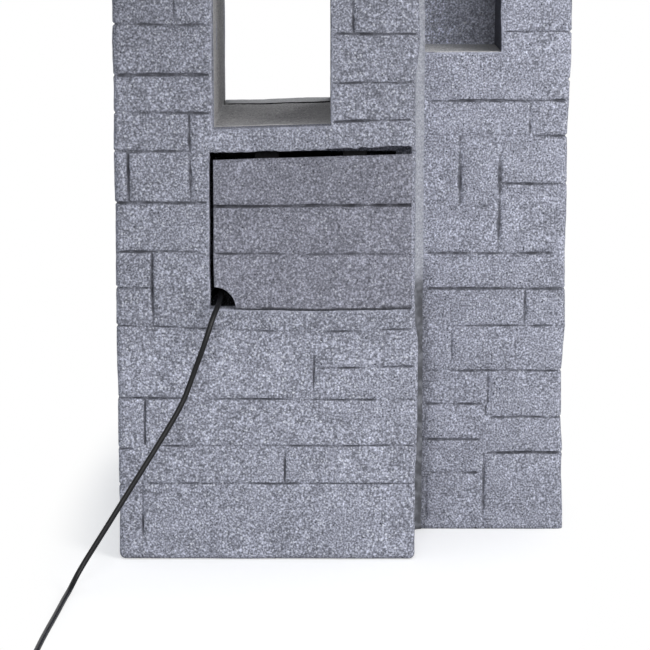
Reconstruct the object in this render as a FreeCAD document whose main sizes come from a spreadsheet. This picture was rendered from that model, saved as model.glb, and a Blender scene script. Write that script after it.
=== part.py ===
"""Garden wall fountain: two offset hollow cast columns, a front basin, and the pump works inside them.

Millimetres, +Z up. The origin is on the ground under the middle of the footprint. The service side, with
the loose hatch and the power cord, faces -Y. The water side, with the basin, faces +Y.
"""

import FreeCAD
import Part
import Sketcher
import math
import os
from types import SimpleNamespace

Vector = FreeCAD.Vector
Rotation = FreeCAD.Rotation

# Driving sizes

SIZES = {
    # wide column with the see-through window
    "wall_width": 333,
    "wall_depth": 319,
    "wall_height": 990,
    "wall_skin": 22,
    "floor_thick": 24,
    "corner_round": 7,
    "cap_thick": 36,
    "cap_rim": 10,
    # window through the wide column, and the water slot in its sill
    "window_inset": 109,
    "window_width": 129,
    "window_rise": 325,
    "sill_height": 490,
    "sill_thick": 22,
    "jamb_thick": 16,
    "slot_setback": 275,
    "slot_gap": 4,
    "lip_overhang": 12,
    "lip_round": 4,
    # service hatch in the rear face
    "hatch_inset": 104.5,
    "hatch_width": 223.5,
    "hatch_drop": 6,
    "hatch_rise": 174,
    "hatch_play_top": 6,
    "hatch_play_left": 4.5,
    "notch_radius": 24,
    "exit_rise": 14,
    "stop_width": 26,
    "stop_inset": 50,
    "stop_lap": 10,
    "stop_root": 5.5,
    "stop_thick": 10,
    # narrow column with the blind niche
    "pier_width": 179,
    "pier_depth": 266,
    "pier_step": 130,
    "pier_setback": 135,
    "pier_skin": 18,
    "niche_inset": 12,
    "niche_width": 87,
    "niche_drop": 87,
    "niche_rise": 175,
    "niche_depth": 120,
    "niche_skin": 14,
    "spout_width": 130,
    "spout_sill": 600,
    "spout_rise": 18,
    "spout_lip": 16,
    "spout_overhang": 14,
    # pressed ashlar joints
    "joint_wide": 2.4,
    "joint_deep": 2,
    # mortar coves in the two inside corners
    "bead_width": 12,
    "bead_edge": 1.5,
    # front basin
    "basin_reach": 192,
    "basin_height": 200,
    "basin_skin": 20,
    # spill boxes behind the two lips
    "box_wall": 3,
    "box_tall": 40,
    "box_freeboard": 12,
    "wall_box_depth": 57,
    "pier_box_depth": 50,
    "wall_box_margin": 4,
    # screws that hold the columns together
    "bolt_radius": 4,
    "bolt_hole_radius": 4.5,
    "bolt_head": 5.3,
    "bolt_flats_radius": 7.5,
    "bolt_spare": 4,
    "washer_radius": 8,
    "washer_thick": 1.6,
    "nut_thick": 6.5,
    "bolt_edge": 42,
    "bolt_low": 110,
    "bolt_rise": 390,
    # water return through the wide column and the basin
    "return_inset": 60,
    "return_height": 64,
    "return_radius": 12.8,
    "return_bore": 9.5,
    "flange_radius": 20,
    "flange_thick": 5,
    "gasket_thick": 3,
    "return_nut_thick": 10,
    "drain_inset": 170,
    "drain_height": 44,
    "drain_radius": 10,
    "drain_head_radius": 14,
    "drain_recess": 7,
    "coin_slot": 3,
    # hoses, barbs and bands
    "hose_radius": 8.5,
    "hose_bore": 6.5,
    "barb_radius": 6.4,
    "barb_bore": 4.5,
    "barb_length": 20,
    "band_width": 8,
    "band_thick": 1.1,
    "band_box_out": 7,
    "band_box_wide": 8,
    "band_screw_radius": 2.6,
    "band_screw_out": 3,
    "band_screw_length": 14,
    "grommet_skin": 4,
    "grommet_flange": 3,
    "hose_straight": 46,
    "tee_drop": 88,
    "tee_radius": 10,
    "tee_half": 18,
    "valve_side": 24,
    "valve_radius": 7,
    "valve_bore": 4,
    "knob_length": 30,
    "knob_width": 8,
    "knob_thick": 7,
    # pump
    "pump_offset": 35,
    "pump_width": 60,
    "pump_tall": 56,
    "motor_length": 58,
    "pump_round": 5,
    "foot_height": 8,
    "foot_radius": 7,
    "foot_taper": 3,
    "foot_edge": 2,
    "chamber_half": 10,
    "chamber_radius": 25,
    "chamber_wall": 4,
    "inlet_ring": 11,
    "inlet_radius": 3.5,
    "well_radius": 12,
    "well_depth": 46,
    "well_wall": 1.4,
    "well_end": 2,
    "core_length": 28,
    "winding_length": 6.6,
    "winding_build": 6,
    "winding_round": 7,
    "potting_thick": 8,
    "rotor_radius": 11.3,
    "rotor_gap": 2.5,
    "shaft_radius": 2,
    "bush_thick": 3,
    "bush_skin": 2,
    "hub_skin": 3.5,
    "impeller_radius": 19,
    "impeller_plate": 2,
    "blade_length": 8,
    "blade_thick": 2,
    "cover_reach": 32,
    "cover_wall": 2.4,
    "strainer_pitch": 7,
    "strainer_slot": 3,
    "front_slot_length": 18,
    "side_slot_length": 30,
    "slot_margin": 7,
    "spigot_radius": 9,
    "spigot_wall": 3,
    "spigot_rise": 38,
    "nozzle_radius": 11,
    "nozzle_neck": 3,
    "gland_length": 12,
    "gland_flare": 5,
    "gland_tip": 1.5,
    "lead_straight": 24,
    "dial_radius": 9,
    "dial_thick": 3,
    "dial_port_ring": 6,
    "dial_port_radius": 1.8,
    # clearances
    "fit": 0.3,
    "running": 0.05,
    # power cord, its coil and its plug
    "cord_radius": 3,
    "coil_radius": 42,
    "coil_pitch": 6.6,
    "coil_turns": 2.5,
    "coil_lead": 6,
    "plug_width": 26,
    "plug_length": 34,
    "plug_relief": 30,
    "relief_lip": 0.8,
    "relief_root": 3,
    "plug_round": 4,
    "pin_reach": 18,
    "pin_pitch": 12.7,
    "pin_blade_thick": 1.5,
    "pin_blade_width": 6.3,
    "pin_blade_drop": 5.5,
    "earth_radius": 2.4,
    "earth_rise": 4.5,
}

CUT_PAST = 5
BARBED_BAND = 5

doc = FreeCAD.newDocument("GardenWallFountain")
sheet = doc.addObject("Spreadsheet::Sheet", "Sizes")
for row, (alias, value) in enumerate(SIZES.items(), start=1):
    sheet.set(f"A{row}", alias)
    sheet.set(f"B{row}", str(value))
    sheet.setAlias(f"B{row}", alias)
doc.recompute()


class Dim:
    """A length that keeps both its number and the sheet expression that gives it."""

    def __init__(self, text, number):
        self.text = text
        self.number = number

    def __float__(self):
        return self.number

    def __neg__(self):
        return Dim(f"(-{self.text})", -self.number)

    def __add__(self, other):
        return Dim(f"({self.text} + {text_of(other)})", self.number + float(other))

    def __radd__(self, other):
        return self + other

    def __sub__(self, other):
        return Dim(f"({self.text} - {text_of(other)})", self.number - float(other))

    def __rsub__(self, other):
        return -self + other

    def __mul__(self, factor):
        return Dim(f"({self.text} * {text_of(factor)})", self.number * float(factor))

    def __rmul__(self, factor):
        return self * factor

    def __truediv__(self, factor):
        return Dim(f"({self.text} / {text_of(factor)})", self.number / float(factor))


def text_of(value):
    return value.text if isinstance(value, Dim) else repr(float(value))


d = SimpleNamespace(**{name: Dim(f"Sizes.{name}", float(sheet.get(name))) for name in SIZES})

# Places that several pieces share

left = -(d.wall_width + d.pier_width) / 2
wall_right = left + d.wall_width
pier_right = wall_right + d.pier_width
pier_mid = wall_right + d.pier_width / 2
rear = -(d.wall_depth + d.basin_reach) / 2
wall_front = rear + d.wall_depth
basin_front = wall_front + d.basin_reach
pier_rear = rear + d.pier_setback
pier_front = pier_rear + d.pier_depth
wall_top = d.wall_height - d.cap_thick
pier_top = wall_top - d.pier_step
niche_sill = pier_top - d.niche_drop - d.niche_rise
window_left = left + d.window_inset
window_mid = window_left + d.window_width / 2
sill_under = d.sill_height - d.sill_thick
hatch_left = left + d.hatch_inset
hatch_top = sill_under - d.hatch_drop
hatch_sill = hatch_top - d.hatch_rise
spout_top = d.spout_sill + d.spout_lip
pump_x = window_mid
pump_y = wall_front - d.wall_skin - d.pump_offset
pump_z = d.floor_thick + d.foot_height + d.pump_tall / 2
return_x = left + d.return_inset
pier_stem_y = pier_front - d.pier_skin - d.pier_box_depth / 2
wall_box_under = sill_under - d.box_tall
tee_height = wall_box_under - d.tee_drop
pier_box_under = spout_top - d.box_tall
motor_front = pump_x - d.chamber_half
motor_rear = motor_front - d.motor_length
gland_mouth = motor_rear - d.gland_length
nozzle_shoulder = pump_z + d.spigot_rise + d.nozzle_neck
valve_end = pump_x + d.tee_radius + d.valve_side
grommet_radius = d.hose_radius + d.grommet_skin
bush_radius = d.shaft_radius + d.bush_skin
bolt_spots = [
    (y, z)
    for y in (pier_rear + d.bolt_edge, wall_front - d.bolt_edge)
    for z in (d.bolt_low, d.bolt_low + d.bolt_rise)
]

TURNS = {
    "x": Rotation(Vector(0, 1, 0), 90),
    "-x": Rotation(Vector(0, 1, 0), -90),
    "y": Rotation(Vector(1, 0, 0), -90),
    "-y": Rotation(Vector(1, 0, 0), 90),
    "z": Rotation(),
    "-z": Rotation(Vector(1, 0, 0), 180),
}

PIECES = []


def keep(thing):
    """Marks a finished sub-part: its label becomes its file's name."""
    PIECES.append(thing)
    return thing


def place(thing, spot, axis="z"):
    """Puts a thing's own origin at a spot, with its own Z turned to an axis."""
    thing.Placement = FreeCAD.Placement(Vector(), TURNS[axis])
    for letter, value in zip("xyz", spot):
        thing.setExpression(f"Placement.Base.{letter}", text_of(value))
    return thing


def body_of(label):
    return doc.addObject("PartDesign::Body", label)


def block(body, low, size, cut=False):
    """A box feature from its low corner."""
    kind = "Subtractive" if cut else "Additive"
    feature = body.newObject(f"PartDesign::{kind}Box", f"{body.Name}_block")
    for name, value in zip(("Length", "Width", "Height"), size):
        feature.setExpression(name, text_of(value))
    return place(feature, low)


def rod(body, start, axis, radius, length, cut=False):
    """A cylinder feature from the middle of its first end."""
    kind = "Subtractive" if cut else "Additive"
    feature = body.newObject(f"PartDesign::{kind}Cylinder", f"{body.Name}_rod")
    feature.setExpression("Radius", text_of(radius))
    feature.setExpression("Height", text_of(length))
    return place(feature, start, axis)


def cone(body, start, axis, first_radius, last_radius, length):
    """A cone feature from the middle of its first end."""
    feature = body.newObject("PartDesign::AdditiveCone", f"{body.Name}_cone")
    feature.setExpression("Radius1", text_of(first_radius))
    feature.setExpression("Radius2", text_of(last_radius))
    feature.setExpression("Height", text_of(length))
    return place(feature, start, axis)


def hexagon(body, start, corner_radius, length):
    """A six-sided prism feature standing on its own Z."""
    feature = body.newObject("PartDesign::AdditivePrism", f"{body.Name}_hex")
    feature.Polygon = 6
    feature.setExpression("Circumradius", text_of(corner_radius))
    feature.setExpression("Height", text_of(length))
    return place(feature, start)


def origin_feature(body, role):
    return next(item for item in body.Origin.OriginFeatures if item.Role == role)


def outline_sketch(body, plane, corners):
    """A closed outline of straight edges, each corner held to the origin by two sheet sizes."""
    sketch = body.newObject("Sketcher::SketchObject", f"{body.Name}_outline")
    sketch.AttachmentSupport = [(origin_feature(body, plane), "")]
    sketch.MapMode = "FlatFace"
    count = len(corners)
    spots = [Vector(float(u), float(v), 0) for u, v in corners]
    for index in range(count):
        sketch.addGeometry(Part.LineSegment(spots[index], spots[(index + 1) % count]), False)
    for index in range(count):
        sketch.addConstraint(Sketcher.Constraint("Coincident", index, 2, (index + 1) % count, 1))
    for index, corner in enumerate(corners):
        for kind, value in zip(("DistanceX", "DistanceY"), corner):
            number = sketch.addConstraint(Sketcher.Constraint(kind, -1, 1, index, 1, float(value)))
            name = f"{kind}_{index}"
            sketch.renameConstraint(number, name)
            sketch.setExpression(f"Constraints.{name}", text_of(value))
    return sketch


def pad(body, corners, length):
    """An outline on the ground plane, raised along Z."""
    feature = body.newObject("PartDesign::Pad", f"{body.Name}_pad")
    feature.Profile = outline_sketch(body, "XY_Plane", corners)
    feature.setExpression("Length", text_of(length))
    return feature


def soften(body, radius, chosen):
    """Rounds the chosen edges of what the body holds so far."""
    doc.recompute()
    tip = body.Tip
    names = [f"Edge{i}" for i, edge in enumerate(tip.Shape.Edges, start=1) if chosen(edge)]
    feature = body.newObject("PartDesign::Fillet", f"{body.Name}_round")
    feature.Base = (tip, names)
    feature.setExpression("Radius", text_of(radius))
    doc.recompute()
    return feature


def is_upright(edge):
    return abs(edge.Vertexes[0].Z - edge.Vertexes[-1].Z) > 1


def middle(edge):
    return edge.BoundBox.Center


def group(label, original, spots):
    """One node of like separate pieces: the original linked to each (spot, axis)."""
    links = []
    for number, (spot, axis) in enumerate(spots, start=1):
        link = doc.addObject("App::Link", f"{label}_{number}")
        link.LinkedObject = original
        place(link, spot, axis)
        links.append(link)
    compound = doc.addObject("Part::Compound", label)
    compound.Links = links
    return keep(compound)


# Cast columns and basin

# Pressed joints by side, in mm: level ones are (height, start, end), upright ones are (place, low, high).
# Starts, ends and places run along X on the rear and front and along Y on the left and right.
WALL_JOINTS = {
    "rear": (
        [
            (86.5, -248, -240), (88.5, -226, 69), (128.5, -248, -238), (132, -208, 69), (185.5, -248, 69),
            (223, -33, 69), (265, -248, 69), (310.5, -248, -219), (352, -248, -160), (407, -248, -154),
            (465.5, -248, -175), (494, -15, 69), (507.5, -248, -150), (537, -14, 69), (547.5, -248, -150),
            (592, -15, 69), (602, -248, -150), (640, -15, 69), (664, -248, -150), (690, -15, 69),
            (708, -248, -172), (742, 0, 69), (751, -240, -150), (786, -15, 69), (792, -248, -150),
            (838, -248, 69), (879, -248, 30), (915, -248, 69),
        ],
        [
            (-229.5, 22, 88.5), (-69.5, 88.5, 132), (-225.5, 132, 185.5), (-36.5, 185.5, 242),
            (-215.5, 265, 352), (-240, 407, 465.5), (-172.5, 407, 507.5), (6.5, 592, 640),
            (-189, 602, 664), (40, 640, 690), (-170, 664, 708), (-205, 708, 751), (22, 742, 786),
            (-222, 751, 792), (-120, 792, 838), (-8, 838, 879), (-180, 838, 879), (32, 879, 915),
            (-95, 879, 915), (-150, 915, 954), (5, 915, 954),
        ],
    ),
    "left": (
        [
            (86.5, -248, 56), (128.5, -248, -107), (145, -101, 56), (185.5, -248, 56), (265, -248, 56),
            (310.5, -248, -140), (340, -135, 56), (407, -248, 56), (465.5, -248, -84), (480, -79, 56),
            (507.5, -248, -84), (547.5, -248, 56), (602, -248, 56), (664, -248, 56), (751, -248, 56),
            (792, -248, 56), (838, -248, 56), (915, -248, 56),
        ],
        [
            (-54, 6, 86.5), (-104, 86.5, 185.5), (-150, 185.5, 265), (-20, 185.5, 265),
            (-137.5, 265, 407), (-30, 340, 407), (-190, 465.5, 507.5), (-81.5, 407, 547.5),
            (10, 480, 547.5), (-147, 547.5, 602), (-26, 547.5, 602), (-65, 602, 664), (-97, 664, 751),
            (-10, 664, 751), (-175, 751, 792), (-79, 792, 838), (-140, 838, 915), (0, 838, 915),
            (-60, 915, 954),
        ],
    ),
    "front": (
        [
            (265, -248, 62), (310, -248, -60), (344, -55, 62), (400, -248, 62), (450, -248, 62),
            (505, -15, 62), (507, -248, -150), (562, -248, -150), (590, -15, 62), (620, -248, -150),
            (650, -15, 62), (680, -248, -150), (715, -15, 62), (735, -248, -150), (775, -15, 62),
            (790, -248, -150), (838, -248, 69), (885, -248, 69), (920, -248, -40),
        ],
        [
            (-120, 205, 265), (0, 205, 265), (-57.5, 265, 400), (-170, 265, 310), (-180, 310, 400),
            (-100, 400, 450), (10, 400, 450), (-200, 507, 562), (30, 590, 650), (-175, 620, 680),
            (-215, 680, 735), (20, 715, 775), (-185, 735, 790), (-150, 838, 885), (-30, 838, 885),
            (-90, 885, 920), (-37, 885, 954),
        ],
    ),
    "right": (
        [
            (88.5, -248, -135), (132, -248, -135), (185.5, -248, -135), (265, -248, -135),
            (330, -248, -135), (407, -248, -135), (494, -248, -135), (537, -248, -135),
            (592, -248, -135), (640, -248, -135), (690, -248, -135), (742, -248, -135),
            (786, -248, -135), (838, -248, -135), (879, -248, 56), (915, -248, 56),
        ],
        [
            (-190, 132, 185.5), (-175, 330, 407), (-200, 592, 640), (-165, 742, 786), (-60, 879, 915),
            (-170, 879, 915), (0, 915, 954), (-120, 915, 954),
        ],
    ),
}
PIER_JOINTS = {
    "rear": (
        [
            (68, 97, 156), (92, 164, 248), (108, 91, 159), (135, 166, 248), (150.5, 91, 160),
            (190.5, 98, 248), (244, 95, 248), (287.5, 95, 248), (329.5, 92, 247), (384.5, 111, 167),
            (410.5, 179, 248), (465.5, 215, 248), (467, 94, 209), (506, 94, 248), (585, 179, 248),
            (628, 179, 248), (671, 179, 248), (716, 179, 248), (752, 91, 248), (787, 91, 197),
            (801, 203, 248),
        ],
        [
            (94.5, 14, 66), (162, 4, 92), (163, 135, 150.5), (165, 151, 190.5), (123, 190.5, 244),
            (208, 244, 287.5), (176.5, 329.5, 467), (130.5, 384.5, 467), (211, 467, 506), (222, 628, 671),
            (205, 671, 716), (140, 752, 787), (200, 752, 824), (118, 787, 824),
        ],
    ),
    "right": (
        [
            (92, -113, 138), (135, -113, 20), (150, 25, 138), (190.5, -113, 138), (287.5, -113, 138),
            (410.5, -113, 138), (465.5, -113, 50), (530, -113, 138), (585, -113, 138), (628, -113, -20),
            (671, -113, 138), (716, -113, 138), (752, -113, -30), (801, -113, 138),
        ],
        [
            (0, 0, 92), (22.5, 92, 190.5), (-40, 190.5, 287.5), (60, 190.5, 287.5), (10, 287.5, 410.5),
            (52.5, 410.5, 530), (-30, 465.5, 530), (-40, 530, 585), (-17.5, 585, 671), (60, 585, 671),
            (40, 671, 716), (-65, 671, 716), (-27.5, 716, 801), (70, 716, 801),
        ],
    ),
    "front": (
        [
            (260, 80, 248), (316, 80, 248), (372, 80, 150), (390, 155, 248), (440, 80, 248),
            (500, 80, 248), (560, 80, 248), (668, 80, 248), (716, 80, 248), (768, 80, 248),
        ],
        [
            (140, 205, 260), (190, 260, 316), (152.5, 316, 440), (120, 440, 500), (200, 500, 560),
            (165, 668, 716), (110, 716, 768), (210, 716, 768), (170, 768, 824),
        ],
    ),
    "left": (
        [
            (260, 78, 142), (330, 78, 142), (390, 78, 142), (440, 78, 142), (500, 78, 142), (560, 78, 142),
            (620, 78, 142), (668, 78, 142), (716, 78, 142), (768, 78, 142),
        ],
        [(112, 260, 330), (106, 560, 620)],
    ),
}


def carve_joints(label, plain, faces, joints):
    """The casting with its joints pressed in as slots; an upright one ends in the level ones at its ends."""
    slots = []
    reach = d.joint_deep + CUT_PAST
    half = d.joint_wide / 2

    def add_slot(side, start, end, low, high):
        slot = doc.addObject("Part::Box", f"{label}_joint_{len(slots) + 1}")
        inward = -CUT_PAST if side in ("rear", "left") else -d.joint_deep
        across = faces[side] + inward
        along_x = side in ("rear", "front")
        spot = (start, across, low) if along_x else (across, start, low)
        size = (end - start, reach, high - low) if along_x else (reach, end - start, high - low)
        for name, value in zip(("Length", "Width", "Height"), size):
            slot.setExpression(name, text_of(value))
        slots.append(place(slot, spot))

    for side, (level, upright) in joints.items():
        for height, start, end in level:
            add_slot(side, start, end, height - half, height + half)
        for spot, low, high in upright:
            add_slot(side, spot - half, spot + half, low, high)
    pressed = doc.addObject("Part::Compound", f"{label}_joints")
    pressed.Links = slots
    carved = keep(doc.addObject("Part::Cut", label))
    carved.Base = plain
    carved.Tool = pressed
    return carved


def make_wall_column():
    """The wide column: a hollow casting with a floor, a window cut through two faces and a hatch opening."""
    body = body_of("wall_column_plain")
    block(body, (left, rear, 0), (d.wall_width, d.wall_depth, wall_top))
    soften(body, d.corner_round, lambda edge: is_upright(edge) or middle(edge).z < 1)
    inner = (d.wall_width - 2 * d.wall_skin, d.wall_depth - 2 * d.wall_skin, wall_top)
    block(body, (left + d.wall_skin, rear + d.wall_skin, d.floor_thick), inner, cut=True)
    window = (d.window_width, d.wall_depth + 2 * CUT_PAST, d.window_rise)
    block(body, (window_left, rear - CUT_PAST, d.sill_height), window, cut=True)
    lip_seat = (d.window_width, d.wall_depth - d.slot_setback + CUT_PAST, d.sill_thick)
    block(body, (window_left, rear + d.slot_setback, sill_under), lip_seat, cut=True)
    hatch = (d.hatch_width, d.wall_skin + 2 * CUT_PAST, d.hatch_rise)
    block(body, (hatch_left, rear - CUT_PAST, hatch_sill), hatch, cut=True)
    through = d.wall_skin + 2 * CUT_PAST
    side = wall_right - d.wall_skin - CUT_PAST
    front = wall_front - d.wall_skin - CUT_PAST
    rod(body, (return_x, front, d.return_height), "y", d.return_radius + d.fit, through, cut=True)
    rod(body, (side, pump_y, tee_height), "x", grommet_radius + d.fit, through, cut=True)
    for y, z in bolt_spots:
        rod(body, (side, y, z), "x", d.bolt_hole_radius, through, cut=True)
    faces = {"rear": rear, "left": left, "front": wall_front, "right": wall_right}
    carve_joints("wall_column", body, faces, WALL_JOINTS)


def make_window_liner():
    """The cast frame that lines the window between the faces: jambs, head, and a sill short of the slot."""
    body = keep(body_of("window_liner"))
    start = rear + d.wall_skin
    length = d.wall_depth - 2 * d.wall_skin
    outer = (d.window_width + 2 * d.jamb_thick, length, d.window_rise + d.sill_thick + d.jamb_thick)
    block(body, (window_left - d.jamb_thick, start, sill_under), outer)
    passage = (d.window_width, length + 2 * CUT_PAST, d.window_rise)
    block(body, (window_left, start - CUT_PAST, d.sill_height), passage, cut=True)
    lip_seat = (d.window_width, d.wall_depth - d.slot_setback + CUT_PAST, d.sill_thick)
    block(body, (window_left, rear + d.slot_setback, sill_under), lip_seat, cut=True)


def make_pier_column():
    """The narrow column: an open-bottomed hollow casting with a blind rear niche and a front spout slot."""
    body = body_of("pier_column_plain")
    block(body, (wall_right, pier_rear, 0), (d.pier_width, d.pier_depth, pier_top))
    outer_side = float(pier_mid)
    soften(body, d.corner_round, lambda edge: is_upright(edge) and middle(edge).x > outer_side)
    inner = (d.pier_width - 2 * d.pier_skin, d.pier_depth - 2 * d.pier_skin, pier_top + 2 * CUT_PAST)
    block(body, (wall_right + d.pier_skin, pier_rear + d.pier_skin, -CUT_PAST), inner, cut=True)
    surround = (
        d.niche_inset + d.niche_width + d.niche_skin,
        d.niche_depth + d.niche_skin,
        d.niche_rise + 2 * d.niche_skin,
    )
    block(body, (wall_right, pier_rear, niche_sill - d.niche_skin), surround)
    niche = (d.niche_width, d.niche_depth + CUT_PAST, d.niche_rise)
    block(body, (wall_right + d.niche_inset, pier_rear - CUT_PAST, niche_sill), niche, cut=True)
    through = d.pier_skin + 2 * CUT_PAST
    slot = (d.spout_width, through, d.spout_lip + d.spout_rise)
    slot_low = (pier_mid - d.spout_width / 2, pier_front - d.pier_skin - CUT_PAST, d.spout_sill)
    block(body, slot_low, slot, cut=True)
    side = wall_right - CUT_PAST
    rod(body, (side, pump_y, tee_height), "x", grommet_radius + d.fit, through, cut=True)
    for y, z in bolt_spots:
        rod(body, (side, y, z), "x", d.bolt_hole_radius, through, cut=True)
    faces = {"rear": pier_rear, "right": pier_right, "front": pier_front, "left": wall_right}
    carve_joints("pier_column", body, faces, PIER_JOINTS)


def make_cap(label, low, width, depth, skin):
    """A column's lid: a flush slab, with a rim below it that drops inside the column's walls."""
    body = keep(body_of(label))
    block(body, low, (width, depth, d.cap_thick))
    under = float(low[2]) + 1
    soften(body, d.corner_round, lambda edge: is_upright(edge) or middle(edge).z > under)
    inside = skin + d.fit
    rim_low = (low[0] + inside, low[1] + inside, low[2] - d.cap_rim)
    block(body, rim_low, (width - 2 * inside, depth - 2 * inside, d.cap_rim))


def make_front_basin():
    """The basin: an L-shaped cast trough that runs in front of the wide column and round the narrow one."""
    body = keep(body_of("front_basin"))
    corners = [
        (left, wall_front),
        (wall_right, wall_front),
        (wall_right, pier_front),
        (pier_right, pier_front),
        (pier_right, basin_front),
        (left, basin_front),
    ]
    pad(body, corners, d.basin_height)
    front = float(basin_front) - 1

    def is_outer(edge):
        return middle(edge).y > front and (is_upright(edge) or middle(edge).z < 1)

    soften(body, d.corner_round, is_outer)
    skin = d.basin_skin
    deep = d.basin_height
    near = (d.wall_width - 2 * skin, d.basin_reach - 2 * skin, deep)
    block(body, (left + skin, wall_front + skin, d.floor_thick), near, cut=True)
    far = (pier_right - left - 2 * skin, basin_front - pier_front - 2 * skin, deep)
    block(body, (left + skin, pier_front + skin, d.floor_thick), far, cut=True)
    through = skin + 2 * CUT_PAST
    inflow = (return_x, wall_front - CUT_PAST, d.return_height)
    rod(body, inflow, "y", d.return_radius + d.fit, through, cut=True)
    drain = (left + d.drain_inset, basin_front - skin - CUT_PAST, d.drain_height)
    rod(body, drain, "y", d.drain_radius + d.running, through, cut=True)
    recess = (left + d.drain_inset, basin_front - d.drain_recess, d.drain_height)
    rod(body, recess, "y", d.drain_head_radius + d.fit, d.drain_recess + CUT_PAST, cut=True)


def make_hatch_stops():
    """Four cement pads stuck behind the hatch opening's edges, which keep the panel from falling in."""
    pad_block = body_of("stop")
    block(pad_block, (0, 0, 0), (d.stop_width, d.stop_thick, d.stop_lap + d.stop_root))
    sides = (hatch_left + d.stop_inset, hatch_left + d.hatch_width - d.stop_inset - d.stop_width)
    heights = (hatch_sill - d.stop_root, hatch_top - d.stop_lap)
    spots = [((x, rear + d.wall_skin, z), "z") for x in sides for z in heights]
    group("hatch_stops", pad_block, spots)


def make_hatch_cover():
    """The loose rear panel: short of its opening at the top and left, notched at a corner for the cord."""
    body = keep(body_of("hatch_cover"))
    width = d.hatch_width - d.hatch_play_left - d.fit
    rise = d.hatch_rise - d.hatch_play_top - d.fit
    corner = (hatch_left + d.hatch_play_left, rear, hatch_sill + d.fit)
    block(body, corner, (width, d.wall_skin - d.fit, rise))
    notch = (corner[0], rear - CUT_PAST, corner[2])
    rod(body, notch, "y", d.notch_radius, d.wall_skin + 2 * CUT_PAST, cut=True)


def make_lips():
    """The two cast spill lips that the water runs over, each with a rounded nose."""
    window_lip = keep(body_of("window_lip"))
    start = rear + d.slot_setback + d.slot_gap
    reach = wall_front + d.lip_overhang - start
    low = (window_left + d.fit, start, sill_under)
    block(window_lip, low, (d.window_width - 2 * d.fit, reach, d.sill_thick))
    nose = float(wall_front + d.lip_overhang) - 1
    soften(window_lip, d.lip_round, lambda edge: middle(edge).y > nose and not is_upright(edge))
    spout_lip = keep(body_of("spout_lip"))
    start = pier_front - d.pier_skin
    low = (pier_mid - d.spout_width / 2 + d.fit, start, d.spout_sill)
    reach = d.pier_skin + d.spout_overhang
    block(spout_lip, low, (d.spout_width - 2 * d.fit, reach, d.spout_lip))
    spout_nose = float(start + reach) - 1
    soften(spout_lip, d.lip_round, lambda edge: middle(edge).y > spout_nose and not is_upright(edge))


def make_bead(label, corner, side, base, top):
    """A mortar cove that fills an inside corner; side gives which way it spreads from the corner."""
    body = keep(body_of(label))
    width = d.bead_width
    low = tuple(value if way > 0 else value - width for value, way in zip(corner, side))
    block(body, (*low, base), (width, width, top - base))
    hollow = tuple(value + way * width for value, way in zip(corner, side))
    rod(body, (*hollow, base - CUT_PAST), "z", width - d.bead_edge, top - base + 2 * CUT_PAST, cut=True)


# Water boxes, hoses and fittings


def make_spill_box(label, low, size, stem):
    """A moulded box open at the top, fed by a barbed stem below; returns its body."""
    body = keep(body_of(label))
    block(body, low, size)
    wall = d.box_wall
    inside = (size[0] - 2 * wall, size[1] - 2 * wall, size[2])
    block(body, tuple(value + wall for value in low), inside, cut=True)
    rod(body, (*stem, low[2]), "-z", d.barb_radius, d.barb_length)
    mouth = (*stem, low[2] - d.barb_length - CUT_PAST)
    rod(body, mouth, "z", d.barb_bore, d.barb_length + 2 * CUT_PAST, cut=True)
    return body


def make_spill_boxes():
    """The box under the window's water slot, and the one behind the spout slot."""
    width = d.window_width - 2 * d.wall_box_margin
    low = (window_left + d.wall_box_margin, wall_front - d.wall_skin - d.wall_box_depth, wall_box_under)
    make_spill_box("wall_spill_box", low, (width, d.wall_box_depth, d.box_tall), (pump_x, pump_y))
    wide = d.spout_width + 2 * d.box_wall
    low = (pier_mid - wide / 2, pier_front - d.pier_skin - d.pier_box_depth, pier_box_under)
    tall = d.box_tall + d.box_freeboard
    body = make_spill_box("pier_spill_box", low, (wide, d.pier_box_depth, tall), (pier_mid, pier_stem_y))
    weir = (pier_mid - d.spout_width / 2, pier_front - d.pier_skin - d.box_wall - CUT_PAST, spout_top)
    block(body, weir, (d.spout_width, d.box_wall + 2 * CUT_PAST, d.box_freeboard + CUT_PAST), cut=True)


def make_straight_hose(label, start, end):
    """A hose pushed over a barb at each end, standing upright on the pump's outlet line."""
    body = keep(body_of(label))
    rod(body, (pump_x, pump_y, start), "z", d.hose_radius, end - start)
    bore_start = (pump_x, pump_y, start - CUT_PAST)
    rod(body, bore_start, "z", d.hose_bore, end - start + 2 * CUT_PAST, cut=True)


def make_flow_tee():
    """The tee that splits the flow: barbs below, above and to the side, with a plug valve on the side."""
    body = keep(body_of("flow_tee"))
    at = (pump_x, pump_y)
    height = tee_height
    long = 2 * (d.tee_half + d.barb_length)
    rod(body, (*at, height - d.tee_half), "z", d.tee_radius, 2 * d.tee_half)
    rod(body, (*at, height - long / 2), "z", d.barb_radius, long)
    half = d.valve_side / 2
    rod(body, (*at, height), "x", d.tee_radius - 1, d.tee_radius + half)
    side = d.valve_side
    root = d.tee_radius / 2
    block(body, (pump_x + root, pump_y - half, height - half), (root + side, side, side))
    rod(body, (valve_end, pump_y, height), "x", d.barb_radius, d.barb_length)
    rod(body, (*at, height - long / 2 - CUT_PAST), "z", d.barb_bore, long + 2 * CUT_PAST, cut=True)
    branch = valve_end + d.barb_length - pump_x
    rod(body, (*at, height), "x", d.valve_bore, branch + CUT_PAST, cut=True)
    seat = (pump_x + d.tee_radius + half, pump_y, height - half + d.box_wall)
    rod(body, seat, "z", d.valve_radius + d.running, side, cut=True)


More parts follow.
